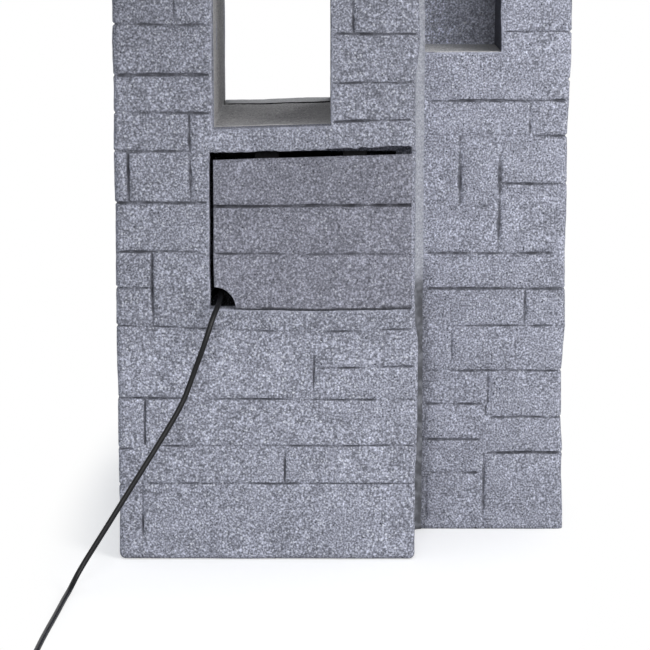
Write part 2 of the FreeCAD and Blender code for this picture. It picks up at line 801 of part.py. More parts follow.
def make_valve_knob():
    """The tee's plug and lever in one: a cross hole lines up with the side branch when the valve is open."""
    body = keep(body_of("valve_knob"))
    half = d.valve_side / 2
    centre = pump_x + d.tee_radius + half
    foot = tee_height - half + d.box_wall + d.fit
    top = tee_height + half + d.fit
    rod(body, (centre, pump_y, foot), "z", d.valve_radius, top - foot)
    lever_low = (centre - d.knob_width / 2, pump_y - d.knob_width / 2, top)
    block(body, lever_low, (d.knob_length, d.knob_width, d.knob_thick))
    rod(body, (centre, pump_y, top), "z", d.valve_radius, d.knob_thick)
    port = (centre - half, pump_y, tee_height)
    rod(body, port, "x", d.valve_bore, d.valve_side, cut=True)


def make_hose_grommet():
    """The rubber bush that carries the side hose through both columns' walls, flanged at each face."""
    body = keep(body_of("hose_grommet"))
    start = wall_right - d.wall_skin
    inside = d.wall_skin + d.pier_skin
    flange = d.grommet_flange
    rod(body, (start, pump_y, tee_height), "x", grommet_radius, inside)
    for x in (start - flange, start + inside):
        rod(body, (x, pump_y, tee_height), "x", grommet_radius + d.grommet_skin, flange)
    bore = (start - flange - CUT_PAST, pump_y, tee_height)
    rod(body, bore, "x", d.hose_radius + d.running, inside + 2 * (flange + CUT_PAST), cut=True)


def make_hose_clamps():
    """Six worm-drive bands, one over each barb."""
    band = body_of("band")
    inner = d.hose_radius + d.running
    outer = inner + d.band_thick
    rod(band, (0, 0, 0), "z", outer, d.band_width)
    block(band, (inner, -d.band_box_wide / 2, 0), (d.band_box_out, d.band_box_wide, d.band_width))
    screw = (outer + d.band_screw_out, -d.band_screw_length / 2, d.band_width / 2)
    rod(band, screw, "y", d.band_screw_radius, d.band_screw_length)
    rod(band, (0, 0, -CUT_PAST), "z", inner, d.band_width + 2 * CUT_PAST, cut=True)
    at = (pump_x, pump_y)
    lower = BARBED_BAND
    upper = d.band_width + BARBED_BAND
    spots = [
        ((*at, nozzle_shoulder + lower), "z"),
        ((*at, tee_height - d.tee_half - upper), "z"),
        ((*at, tee_height + d.tee_half + lower), "z"),
        ((*at, wall_box_under - upper), "z"),
        ((pier_mid, pier_stem_y, pier_box_under - upper), "z"),
        ((valve_end + lower, pump_y, tee_height), "x"),
    ]
    group("hose_clamps", band, spots)


def make_return_fitting():
    """The flanged pipe that lets basin water back into the wide column's base, with its seals and nut."""
    fitting = keep(body_of("return_fitting"))
    basin_face = wall_front + d.basin_skin
    wall_face = wall_front - d.wall_skin
    start = wall_face - d.gasket_thick - d.return_nut_thick - d.bolt_spare
    end = basin_face + d.gasket_thick + d.flange_thick
    rod(fitting, (return_x, start, d.return_height), "y", d.return_radius, end - start)
    flange = (return_x, basin_face + d.gasket_thick, d.return_height)
    rod(fitting, flange, "y", d.flange_radius, d.flange_thick)
    bore = (return_x, start - CUT_PAST, d.return_height)
    rod(fitting, bore, "y", d.return_bore, end - start + 2 * CUT_PAST, cut=True)
    gasket = body_of("gasket")
    rod(gasket, (0, 0, 0), "z", d.flange_radius, d.gasket_thick)
    rod(gasket, (0, 0, -CUT_PAST), "z", d.return_radius + d.running, d.gasket_thick + 2 * CUT_PAST, cut=True)
    faces = (basin_face, wall_face - d.gasket_thick)
    group("return_gaskets", gasket, [((return_x, y, d.return_height), "y") for y in faces])
    nut = keep(body_of("return_nut"))
    hexagon(nut, (0, 0, 0), d.flange_radius, d.return_nut_thick)
    rod(nut, (0, 0, -CUT_PAST), "z", d.return_radius + d.running, d.return_nut_thick + 2 * CUT_PAST, cut=True)
    place(nut, (return_x, wall_face - d.gasket_thick - d.return_nut_thick, d.return_height), "y")


def make_drain_plug():
    """The rubber bung in the basin's front wall, its head sunk flush and slotted for a coin."""
    body = keep(body_of("drain_plug"))
    centre = left + d.drain_inset
    shoulder = basin_front - d.drain_recess + d.fit
    shank = d.basin_skin - d.drain_recess + d.bolt_spare
    rod(body, (centre, shoulder, d.drain_height), "-y", d.drain_radius, shank)
    head = d.drain_recess - 2 * d.fit
    rod(body, (centre, shoulder, d.drain_height), "y", d.drain_head_radius, head)
    slot = (centre - d.drain_radius, shoulder + head / 2, d.drain_height - d.coin_slot / 2)
    block(body, slot, (2 * d.drain_radius, head, d.coin_slot), cut=True)


def make_joining_screws():
    """Four hexagon screws through the two columns' touching walls, with washers and nuts."""
    start = wall_right - d.wall_skin - d.washer_thick
    clamped = d.wall_skin + d.pier_skin + 2 * d.washer_thick
    bolt = body_of("bolt")
    rod(bolt, (0, 0, 0), "z", d.bolt_radius, clamped + d.nut_thick + d.bolt_spare)
    hexagon(bolt, (0, 0, -d.bolt_head), d.bolt_flats_radius, d.bolt_head)
    group("joining_bolts", bolt, [((start, y, z), "x") for y, z in bolt_spots])
    washer = body_of("washer")
    rod(washer, (0, 0, 0), "z", d.washer_radius, d.washer_thick)
    rod(washer, (0, 0, -CUT_PAST), "z", d.bolt_radius + d.running, d.washer_thick + 2 * CUT_PAST, cut=True)
    far = start + clamped - d.washer_thick
    group("joining_washers", washer, [((x, y, z), "x") for x in (start, far) for y, z in bolt_spots])
    nut = body_of("nut")
    hexagon(nut, (0, 0, 0), d.bolt_flats_radius, d.nut_thick)
    rod(nut, (0, 0, -CUT_PAST), "z", d.bolt_radius + d.running, d.nut_thick + 2 * CUT_PAST, cut=True)
    group("joining_nuts", nut, [((start + clamped, y, z), "x") for y, z in bolt_spots])


# Pump


def make_pump_motor():
    """The pump's motor half: potted housing, core, windings and the resin that closes its back."""
    housing = keep(body_of("pump_housing"))
    half_width = d.pump_width / 2
    half_tall = d.pump_tall / 2
    low = (motor_rear, pump_y - half_width, pump_z - half_tall)
    block(housing, low, (d.motor_length, d.pump_width, d.pump_tall))
    soften(housing, d.pump_round, lambda edge: edge.BoundBox.XLength > 1)
    wall = d.chamber_wall
    room = (d.motor_length - wall + CUT_PAST, d.pump_width - 2 * wall, d.pump_tall - 2 * wall)
    room_low = (motor_rear - CUT_PAST, low[1] + wall, low[2] + wall)
    block(housing, room_low, room, cut=True)
    well_end = motor_front - d.well_depth
    tube = d.well_radius + d.well_wall
    rod(housing, (well_end - d.well_end, pump_y, pump_z), "x", tube, d.well_depth + d.well_end)
    rod(housing, (well_end, pump_y, pump_z), "x", d.well_radius, d.well_depth + CUT_PAST, cut=True)

    slack = d.fit
    core = keep(body_of("stator_core"))
    core_start = motor_rear + d.potting_thick + d.winding_length
    core_size = (d.core_length, room[1] - 2 * slack, room[2] - 2 * slack)
    block(core, (core_start, room_low[1] + slack, room_low[2] + slack), core_size)
    bore = tube + slack
    rod(core, (core_start - CUT_PAST, pump_y, pump_z), "x", bore, d.core_length + 2 * CUT_PAST, cut=True)

    winding = body_of("winding")
    reach = tube + d.winding_build
    block(winding, (-reach, -reach, 0), (2 * reach, 2 * reach, d.winding_length))
    soften(winding, d.winding_round, is_upright)
    rod(winding, (0, 0, -CUT_PAST), "z", bore, d.winding_length + 2 * CUT_PAST, cut=True)
    ends = (core_start - d.winding_length, core_start + d.core_length)
    group("stator_windings", winding, [((x, pump_y, pump_z), "x") for x in ends])

    potting = keep(body_of("motor_potting"))
    fill = (d.potting_thick, room[1] - 2 * d.running, room[2] - 2 * d.running)
    block(potting, (motor_rear, room_low[1] + d.running, room_low[2] + d.running), fill)

    gland = keep(body_of("cord_gland"))
    flare = d.cord_radius + d.gland_flare
    cone(gland, (motor_rear, pump_y, pump_z), "-x", flare, d.cord_radius + d.gland_tip, d.gland_length)


def make_pump_rotor():
    """The turning set and what carries it: magnet, impeller, fixed shaft and the two bushes."""
    well_end = motor_front - d.well_depth
    bore = d.shaft_radius + d.running
    hub_start = motor_front - d.rotor_gap
    magnet = keep(body_of("rotor_magnet"))
    start = well_end + d.bush_thick + d.fit
    rod(magnet, (start, pump_y, pump_z), "x", d.rotor_radius, hub_start - start)
    rod(magnet, (start - CUT_PAST, pump_y, pump_z), "x", bore, hub_start - start + 2 * CUT_PAST, cut=True)

    impeller = keep(body_of("impeller"))
    hub = d.rotor_gap + d.chamber_half
    rod(impeller, (0, 0, 0), "z", d.shaft_radius + d.hub_skin, hub)
    blade_rise = d.blade_length + d.impeller_plate
    plate_start = hub - blade_rise
    rod(impeller, (0, 0, plate_start), "z", d.impeller_radius, d.impeller_plate)
    doc.recompute()
    blade_size = (d.impeller_radius - bush_radius, d.blade_thick, blade_rise)
    blade = block(impeller, (bush_radius, -d.blade_thick / 2, plate_start), blade_size)
    doc.recompute()
    ring = impeller.newObject("PartDesign::PolarPattern", "impeller_blades")
    ring.Originals = [blade]
    ring.Axis = (origin_feature(impeller, "Z_Axis"), [""])
    ring.Angle = 360
    ring.Occurrences = 6
    impeller.Tip = ring
    doc.recompute()
    rod(impeller, (0, 0, -CUT_PAST), "z", bore, hub + 2 * CUT_PAST, cut=True)
    place(impeller, (hub_start, pump_y, pump_z), "x")

    shaft = keep(body_of("rotor_shaft"))
    shaft_start = well_end + d.fit
    shaft_end = pump_x + d.bush_thick + d.bush_thick
    rod(shaft, (shaft_start, pump_y, pump_z), "x", d.shaft_radius, shaft_end - shaft_start)

    rear_bush = keep(body_of("rear_bush"))
    rod(rear_bush, (well_end, pump_y, pump_z), "x", d.well_radius - d.running, d.bush_thick)
    rod(rear_bush, (well_end - CUT_PAST, pump_y, pump_z), "x", bore, d.bush_thick + 2 * CUT_PAST, cut=True)
    front_bush = keep(body_of("front_bush"))
    seat = pump_x + d.bush_thick
    rod(front_bush, (seat, pump_y, pump_z), "x", bush_radius, d.bush_thick)
    rod(front_bush, (seat - CUT_PAST, pump_y, pump_z), "x", bore, d.bush_thick + 2 * CUT_PAST, cut=True)


def make_pump_chamber():
    """The impeller chamber with its inlet ring and outlet spigot, its seal and the barbed outlet nozzle."""
    chamber = keep(body_of("impeller_chamber"))
    inner = d.chamber_radius - d.chamber_wall
    front_wall = d.chamber_wall
    rod(chamber, (motor_front, pump_y, pump_z), "x", d.chamber_radius, 2 * d.chamber_half)
    rod(chamber, (pump_x, pump_y, pump_z), "z", d.spigot_radius, d.spigot_rise)
    room = 2 * d.chamber_half - front_wall
    rod(chamber, (motor_front - CUT_PAST, pump_y, pump_z), "x", inner, room + CUT_PAST, cut=True)
    seat = pump_x + d.bush_thick
    rod(chamber, (seat, pump_y, pump_z), "x", bush_radius + d.bush_skin, d.chamber_half - d.bush_thick)
    rod(chamber, (seat - CUT_PAST, pump_y, pump_z), "x", bush_radius, d.bush_thick + CUT_PAST, cut=True)
    outlet = d.spigot_radius - d.spigot_wall
    rod(chamber, (pump_x, pump_y, pump_z + inner / 2), "z", outlet, d.spigot_rise, cut=True)
    for step in range(6):
        angle = math.radians(30 + 60 * step)
        hole_y = pump_y + d.inlet_ring * math.cos(angle)
        hole_z = pump_z + d.inlet_ring * math.sin(angle)
        rod(chamber, (pump_x, hole_y, hole_z), "x", d.inlet_radius, d.chamber_half + CUT_PAST, cut=True)
    groove = d.chamber_wall / 2
    ring = inner + groove / 2
    ring_end = (motor_front - CUT_PAST, pump_y, pump_z)
    rod(chamber, ring_end, "x", ring + groove / 2, groove / 2 + CUT_PAST, cut=True)

    seal = keep(body_of("chamber_seal"))
    rod(seal, (motor_front, pump_y, pump_z), "x", ring + groove / 2 - d.running, groove / 2)
    rod(seal, ring_end, "x", inner, groove + 2 * CUT_PAST, cut=True)

    nozzle = keep(body_of("outlet_nozzle"))
    foot = pump_z + d.pump_tall / 2 + d.fit
    at = (pump_x, pump_y)
    rod(nozzle, (*at, foot), "z", d.nozzle_radius, nozzle_shoulder - foot)
    rod(nozzle, (*at, nozzle_shoulder), "z", d.barb_radius, d.barb_length)
    socket = pump_z + d.spigot_rise
    rod(nozzle, (*at, foot - CUT_PAST), "z", d.spigot_radius + d.running, socket - foot + CUT_PAST, cut=True)
    rod(nozzle, (*at, foot), "z", d.barb_bore, d.spigot_rise + d.barb_length + CUT_PAST, cut=True)


def make_intake_cover():
    """The snap-off strainer over the chamber, slotted in front and at the sides, with its flow dial."""
    cover = keep(body_of("intake_cover"))
    start = motor_front + d.fit
    reach = pump_x + d.cover_reach - start
    half_width = d.pump_width / 2
    half_tall = d.pump_tall / 2
    wall = d.cover_wall
    block(cover, (start, pump_y - half_width, pump_z - half_tall), (reach, d.pump_width, d.pump_tall))
    soften(cover, d.pump_round, lambda edge: edge.BoundBox.XLength > 1)
    inner = (reach - wall + CUT_PAST, d.pump_width - 2 * wall, d.pump_tall - 2 * wall)
    block(cover, (start - CUT_PAST, pump_y - half_width + wall, pump_z - half_tall + wall), inner, cut=True)
    gap = d.spigot_radius + 2 * d.fit
    passage = (d.chamber_half + gap + CUT_PAST, 2 * gap, 2 * wall)
    block(cover, (start - CUT_PAST, pump_y - gap, pump_z + half_tall - wall - d.fit), passage, cut=True)
    front = pump_x + d.cover_reach - wall - CUT_PAST
    deep = wall + 2 * CUT_PAST
    slot_width = d.strainer_slot
    slot_base = pump_z - half_tall + d.slot_margin
    for step in range(-3, 4):
        slot = (front, pump_y + d.strainer_pitch * step - slot_width / 2, slot_base)
        block(cover, slot, (deep, slot_width, d.front_slot_length), cut=True)
    for step in range(1, 4):
        slot = (pump_x + d.strainer_pitch * step - slot_width, pump_y - half_width - CUT_PAST, slot_base)
        block(cover, slot, (slot_width, d.pump_width + 2 * CUT_PAST, d.side_slot_length), cut=True)
    pin = d.shaft_radius
    dial_z = pump_z + half_tall / 2
    rod(cover, (front, pump_y, dial_z), "x", pin + d.running, deep, cut=True)
    for way in (-1, 1):
        rod(cover, (front, pump_y + d.dial_port_ring * way, dial_z), "x", d.dial_port_radius, deep, cut=True)

    dial = keep(body_of("flow_dial"))
    face = pump_x + d.cover_reach + d.fit
    thick = d.dial_thick
    rod(dial, (face, pump_y, dial_z), "x", d.dial_radius, thick)
    rod(dial, (face, pump_y, dial_z), "-x", pin, wall + 1)
    grip = d.dial_radius - d.dial_port_radius
    block(dial, (face + thick, pump_y - grip, dial_z - thick / 2), (thick, 2 * grip, thick))
    for way in (-1, 1):
        port = (face - CUT_PAST, pump_y, dial_z + d.dial_port_ring * way)
        rod(dial, port, "x", d.dial_port_radius, deep, cut=True)


def make_suction_feet():
    """Four soft cups that hold the pump to the floor of the wide column."""
    foot = body_of("foot")
    cone(foot, (0, 0, 0), "z", d.foot_radius, d.foot_radius - d.foot_taper, d.foot_height)
    edge = d.foot_radius + d.foot_edge
    spots = [
        ((x, y, d.floor_thick), "z")
        for x in (motor_rear + edge, motor_front - edge)
        for y in (pump_y - d.pump_width / 2 + edge, pump_y + d.pump_width / 2 - edge)
    ]
    group("suction_feet", foot, spots)


# Hose, lead and cord


def tube_path(label, points):
    """Straight runs joined by tangent arcs, each as large as its two runs allow. Prints the radii."""
    points = [Vector(*[float(value) for value in point]) for point in points]
    edges = []
    radii = []
    start = points[0]
    for before, corner, after in zip(points, points[1:], points[2:]):
        run_in = corner - before
        run_out = after - corner
        back = 0.45 * min(run_in.Length, run_out.Length)
        run_in.normalize()
        run_out.normalize()
        half_turn = run_in.getAngle(run_out) / 2
        radius = back / math.tan(half_turn)
        radii.append(radius)
        arc_start = corner - run_in * back
        arc_end = corner + run_out * back
        inward = (run_out - run_in).normalize()
        arc_middle = corner + inward * (radius / math.cos(half_turn) - radius)
        edges.append(Part.LineSegment(start, arc_start).toShape())
        edges.append(Part.Arc(arc_start, arc_middle, arc_end).toShape())
        start = arc_end
    edges.append(Part.LineSegment(start, points[-1]).toShape())
    print(label, "arc radii", " ".join(f"{radius:.0f}" for radius in radii))
    return Part.Wire(edges)


def sweep(path, radius):
    """A round section carried along a path from its first point."""
    first = path.OrderedEdges[0]
    circle = Part.Circle(first.valueAt(first.FirstParameter), first.tangentAt(first.FirstParameter), radius)
    return path.makePipeShell([Part.Wire([circle.toShape()])], True, False)


def tube_piece(label, path, radius, bore=None):
    """A free-form tube as a sub-part, its volume set against its section times its length."""
    radius = float(radius)
    shape = sweep(path, radius)
    area = math.pi * radius**2
    if bore is not None:
        shape = shape.cut(sweep(path, float(bore)))
        area -= math.pi * float(bore) ** 2
    piece = keep(doc.addObject("Part::Feature", label))
    piece.Shape = shape
    ratio = shape.Volume / area / path.Length
    print(label, f"length {path.Length:.0f}, volume over section times length {ratio:.4f}")
    return piece


def make_pier_hose():
    """The side hose: out of the valve, through both walls, then up to the narrow column's spill box."""
    start = (valve_end, pump_y, tee_height)
    inside = (wall_right + d.hose_straight, pump_y, tee_height)
    end = (pier_mid, pier_stem_y, pier_box_under)
    span = [float(last - first) for first, last in zip(inside, end)]
    shares = [(0.86, 0.17, 0.07), (1.25, 0.53, 0.25), (1.14, 0.87, 0.49), (1, 1, 0.76)]
    bends = [
        [float(first) + share * reach for first, share, reach in zip(inside, part, span)] for part in shares
    ]
    tube_piece("pier_hose", tube_path("pier_hose", [start, inside, *bends, end]), d.hose_radius, d.hose_bore)


exit_z = hatch_sill + d.exit_rise

LEAD_ROUTE = [
    (gland_mouth, pump_y, pump_z),
    (gland_mouth - d.lead_straight, pump_y, pump_z),
    (-210, -3, 0.23 * exit_z),
    (-223, -20, 0.285 * exit_z),
    (-221, -56, 0.417 * exit_z),
    (-207, -98, 0.603 * exit_z),
    (-184, -136, 0.788 * exit_z),
    (-159, -166, 0.927 * exit_z),
    (-145, -190, exit_z),
    (-139, -214, exit_z + 4),
    (-139.5, -238, exit_z),
]

CORD_ROUTE = [
    (-139.5, -238, exit_z),
    (-140, -262, exit_z - 4),
    (-147, -279, exit_z - 18),
    (-155, -287, exit_z - 44),
    (-169, -291, 0.73 * exit_z),
    (-180, -299, 0.63 * exit_z),
    (-203, -313, 0.507 * exit_z),
    (-232, -332, 0.361 * exit_z),
    (-265, -353, 0.192 * exit_z),
    (-290, -367, 0.066 * exit_z),
    (-299, -386, 3),
    (-301.5, -420, 3),
    (-304, -475, 3),
    (-308.5, -550, 3),
    (-311, -622, 3),
    (-311, -682, 3),
]


def biarc(start, start_way, end, end_way):
    """Two arcs that leave one point along its direction and reach the next along its own."""
    chord = end - start
    ways = start_way + end_way
    square = 2 * (start_way.dot(end_way) - 1)
    linear = -2 * chord.dot(ways)
    constant = chord.dot(chord)
    if abs(square) < 1e-9:
        reach = -constant / linear
    else:
        reach = (-linear - math.sqrt(linear**2 - 4 * square * constant)) / (2 * square)
    first_pole = start + start_way * reach
    last_pole = end - end_way * reach
    joint = (first_pole + last_pole) * 0.5
    edges = []
    for near, pole, far in ((start, first_pole, joint), (joint, last_pole, end)):
        weight = (far - near).Length / (2 * reach)
        halfway = (near + far + pole * (2 * weight)) * (0.5 / (1 + weight))
        edges.append(Part.Arc(near, halfway, far).toShape())
    return edges


def coil_point(turns):
    """Where the coiled cord is after so many turns: in along the floor, up a layer, and out again."""
    way_in = float(d.coil_turns)
    pitch = float(d.coil_pitch)
    climb = 0.5
    height = float(d.cord_radius)
    if turns <= way_in:
        radius = float(d.coil_radius) - pitch * turns
    elif turns <= way_in + climb:
        part = turns - way_in
        radius = float(d.coil_radius) - pitch * way_in - pitch * part + pitch * part**2 / climb
        share = part / climb
        height += pitch * (3 * share**2 - 2 * share**3)
    else:
        radius = float(d.coil_radius) - pitch * way_in + pitch * (turns - way_in - climb)
        height += pitch
    angle = -2 * math.pi * turns
    centre_x, centre_y, _ = CORD_ROUTE[-1]
    centre_x -= float(d.coil_radius)
    centre_y -= float(d.coil_lead)
    return Vector(centre_x + radius * math.cos(angle), centre_y + radius * math.sin(angle), height)


def make_cord_coil():
    """The put-away length: one unbroken tube in two layers, in along the floor and out again on top."""
    total = 2 * float(d.coil_turns) + 0.5
    steps = round(4 * total)
    nudge = 1e-4
    stops = []
    for step in range(steps + 1):
        turns = total * step / steps
        before = coil_point(max(turns - nudge, 0))
        after = coil_point(min(turns + nudge, total))
        stops.append((coil_point(turns), (after - before).normalize()))
    stops[0] = (stops[0][0], Vector(0, -1, 0))
    stops[-1] = (stops[-1][0], Vector(0, 1, 0))
    lead = float(d.coil_lead)
    first, first_way = stops[0]
    last, last_way = stops[-1]
    edges = [Part.LineSegment(first - first_way * lead, first).toShape()]
    for (here, way), (there, there_way) in zip(stops, stops[1:]):
        edges += biarc(here, way, there, there_way)
    edges.append(Part.LineSegment(last, last + last_way * lead).toShape())
    path = Part.Wire(edges)
    samples = [coil_point(total * number / 2000) for number in range(2001)]
    apart = round(2000 / total / 2)
    closest = min(
        (samples[i] - samples[j]).Length for i in range(0, 2001, 2) for j in range(i + apart, 2001, 2)
    )
    print(f"cord_coil least gap to itself {closest - 2 * float(d.cord_radius):.2f}")
    tube_piece("cord_coil", path, d.cord_radius)
    return last + last_way * lead


def make_plug(spot):
    """The moulded plug on the cord's end, lying beside the coil, with two blades and an earth pin."""
    body = keep(body_of("plug_body"))
    half_tall = float(spot.z)
    x = spot.x
    start = spot.y
    mouth = d.cord_radius + d.relief_lip
    cone(body, (x, start, half_tall), "y", mouth, d.cord_radius + d.relief_root, d.plug_relief)
    shell = start + d.plug_relief
    block(body, (x - d.plug_width / 2, shell, 0), (d.plug_width, d.plug_length, 2 * half_tall))
    soften(body, d.plug_round, lambda edge: edge.BoundBox.YLength > 20 and edge.BoundBox.XLength < 1)
    pins = []
    pin_start = shell + d.plug_length
    for number, side in enumerate((-1, 1), start=1):
        blade = doc.addObject("Part::Box", f"plug_blade_{number}")
        blade.setExpression("Length", text_of(d.pin_blade_thick))
        blade.setExpression("Width", text_of(d.pin_reach))
        blade.setExpression("Height", text_of(d.pin_blade_width))
        blade_x = x + side * d.pin_pitch / 2 - d.pin_blade_thick / 2
        place(blade, (blade_x, pin_start, half_tall - d.pin_blade_drop))
        pins.append(blade)
    earth = doc.addObject("Part::Cylinder", "plug_earth")
    earth.setExpression("Radius", text_of(d.earth_radius))
    earth.setExpression("Height", text_of(d.pin_reach))
    place(earth, (x, pin_start, half_tall + d.earth_rise), "y")
    pins.append(earth)
    compound = keep(doc.addObject("Part::Compound", "plug_pins"))
    compound.Links = pins


make_wall_column()
make_window_liner()
make_pier_column()
make_cap("wall_cap", (left, rear, wall_top), d.wall_width, d.wall_depth, d.wall_skin)
make_cap("pier_cap", (wall_right, pier_rear, pier_top), d.pier_width, d.pier_depth, d.pier_skin)
make_front_basin()
make_hatch_stops()
make_hatch_cover()
make_lips()
make_bead("rear_bead", (wall_right, pier_rear), (1, -1), Dim("0", 0.0), pier_top)
make_bead("front_bead", (wall_right, wall_front), (-1, 1), d.basin_height, pier_top)
make_spill_boxes()
make_straight_hose("riser_hose", nozzle_shoulder, tee_height - d.tee_half)
make_straight_hose("window_hose", tee_height + d.tee_half, wall_box_under)
make_flow_tee()
make_valve_knob()
make_hose_grommet()
make_hose_clamps()
make_pier_hose()
make_return_fitting()
make_drain_plug()
make_joining_screws()
make_pump_motor()
make_pump_rotor()
make_pump_chamber()
make_intake_cover()
make_suction_feet()
tube_piece("pump_lead", tube_path("pump_lead", LEAD_ROUTE), d.cord_radius)
tube_piece("power_cord", tube_path("power_cord", CORD_ROUTE), d.cord_radius)
make_plug(make_cord_coil())
doc.recompute()

failed = [thing.Name for thing in doc.Objects if {"Invalid", "Error"} & set(thing.State)]
failed += [piece.Label for piece in PIECES if piece.Shape.isNull() or not piece.Shape.isValid()]
if failed:
    raise SystemExit("these did not build: " + ", ".join(failed))

os.makedirs("parts", exist_ok=True)
for piece in PIECES:
    piece.Shape.exportStep(f"parts/{piece.Label}.step")
print(len(PIECES), "sub-parts written")
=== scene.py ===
"""Looks of the garden wall fountain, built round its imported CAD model. Metres, +Z up, service side at -Y."""

import bpy
import bmesh
import math
import random
import numpy as np
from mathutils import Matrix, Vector, noise


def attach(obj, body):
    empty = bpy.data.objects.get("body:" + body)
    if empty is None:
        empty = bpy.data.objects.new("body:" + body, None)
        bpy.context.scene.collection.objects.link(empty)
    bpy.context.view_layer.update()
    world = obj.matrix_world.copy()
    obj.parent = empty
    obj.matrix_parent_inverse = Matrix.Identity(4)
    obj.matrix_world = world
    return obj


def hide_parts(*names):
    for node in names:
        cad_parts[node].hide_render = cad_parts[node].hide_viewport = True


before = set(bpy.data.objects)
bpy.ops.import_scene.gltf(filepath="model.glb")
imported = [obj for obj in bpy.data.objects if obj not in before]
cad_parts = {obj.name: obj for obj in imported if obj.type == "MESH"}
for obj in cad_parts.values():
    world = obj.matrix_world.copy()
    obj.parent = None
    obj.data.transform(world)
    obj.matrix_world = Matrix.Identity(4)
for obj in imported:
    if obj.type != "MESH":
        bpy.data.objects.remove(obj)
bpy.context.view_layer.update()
scene = bpy.context.scene


# Camera and studio. A long lens stands well behind the service side and looks a little down at the fountain's
# lower part. Soft boxes at the right and above the camera and a pale room light it, a narrow lamp shines in
# through the window from its far side, and the floor is white.
lens = bpy.data.cameras.new("lens")
lens.lens = 140.45
lens.sensor_width = 36
camera = bpy.data.objects.new("camera", lens)
camera.location = (-0.010, -3.0235, 0.788)
camera.rotation_euler = (math.radians(79.4), 0, math.radians(0.29))
scene.collection.objects.link(camera)
scene.camera = camera
scene.view_settings.view_transform = "Standard"


def hang_lamp(name, place, target, size, power, colour):
    """A square soft box at a place, turned to face a target."""
    light = bpy.data.lights.new(name, "AREA")
    light.size = size
    light.energy = power
    light.color = colour
    lamp = bpy.data.objects.new(name, light)
    lamp.location = place
    lamp.rotation_euler = (Vector(target) - Vector(place)).to_track_quat("-Z", "Y").to_euler()
    scene.collection.objects.link(lamp)
    return lamp


hang_lamp("key_lamp", (1.85, -2.2, 1.15), (0.08, -0.1, 0.16), 1.1, 41, (1.0, 0.985, 0.97))
hang_lamp("fill_lamp", (-0.15, -3.3, 1.75), (0.0, -0.1, 0.40), 1.0, 29, (0.98, 0.99, 1.0))
window_lamp = hang_lamp("window_lamp", (0.34, 1.12, 1.0), (-0.09, -0.10, 0.49), 0.25, 0.15, (1.0, 1.0, 1.0))
window_lamp.data.spread = math.radians(30)


def wire(tree, node, inputs):
    """Sets a shader node's inputs to values, or links them to other nodes' outputs."""
    for key, value in inputs.items():
        if isinstance(value, bpy.types.NodeSocket):
            tree.links.new(value, node.inputs[key])
        else:
            node.inputs[key].default_value = value


def add_node(tree, kind, inputs=None, **settings):
    """The outputs of a new shader node with these settings and inputs."""
    node = tree.nodes.new("ShaderNode" + kind)
    for key, value in settings.items():
        setattr(node, key, value)
    wire(tree, node, inputs or {})
    return node.outputs


room = bpy.data.worlds.new("room")
room.use_nodes = True
scene.world = room
air = room.node_tree
air.nodes.clear()
room_rays = add_node(air, "LightPath")
room_glow = add_node(air, "Background", {"Color": (0.93, 0.96, 1.0, 1), "Strength": 0.58})
room_white = add_node(air, "Background", {"Strength": 1.0})
room_seen = add_node(
    air, "Math", {0: room_rays["Is Camera Ray"], 1: room_rays["Is Transmission Ray"]}, operation="MAXIMUM"
)
room_mirrored = add_node(air, "Math", {0: room_seen[0], 1: room_rays["Is Glossy Ray"]}, operation="MAXIMUM")
room_mix = add_node(air, "MixShader", {0: room_mirrored[0], 1: room_glow[0], 2: room_white[0]})
add_node(air, "OutputWorld", {0: room_mix[0]})

floor_mesh = bpy.data.meshes.new("floor")
floor = bpy.data.objects.new("floor", floor_mesh)
scene.collection.objects.link(floor)
floor_shape = bmesh.new()
bmesh.ops.create_circle(floor_shape, cap_ends=True, segments=96, radius=16)
bmesh.ops.translate(floor_shape, verts=floor_shape.verts, vec=(0, 0, -0.0004))
floor_shape.to_mesh(floor_mesh)
floor_shape.free()
floor_paint = bpy.data.materials.new("floor_paint")
floor_paint.use_nodes = True
paint = floor_paint.node_tree
floor_seen = add_node(paint, "LightPath")["Is Camera Ray"]
floor_lift = add_node(paint, "Math", {0: floor_seen, 1: 0.38}, operation="MULTIPLY")
floor_coat = paint.nodes["Principled BSDF"]
wire(paint, floor_coat, {"Base Color": (0.80, 0.80, 0.80, 1), "Roughness": 0.9, "Specular IOR Level": 0.0})
wire(paint, floor_coat, {"Emission Color": (1, 1, 1, 1), "Emission Strength": floor_lift[0]})
floor_spot = add_node(paint, "TexCoord")["Object"]
floor_flat = add_node(
    paint, "VectorMath", {0: floor_spot, 1: (1, 0.3, 1), 2: (0.04, 0, 0)}, operation="MULTIPLY_ADD"
)
floor_reach = add_node(paint, "VectorMath", {0: floor_flat[0]}, operation="LENGTH")
floor_far = add_node(
    paint,
    "MapRange",
    {"Value": floor_reach["Value"], "From Min": 0.235, "From Max": 0.325},
    interpolation_type="SMOOTHSTEP",
)
floor_share = add_node(paint, "Math", {0: floor_far["Result"], 1: floor_seen}, operation="MULTIPLY")
floor_white = add_node(paint, "Emission")
floor_mix = add_node(paint, "MixShader", {0: floor_share[0], 1: floor_coat.outputs[0], 2: floor_white[0]})
wire(paint, paint.nodes["Material Output"], {"Surface": floor_mix[0]})
floor_mesh.materials.append(floor_paint)


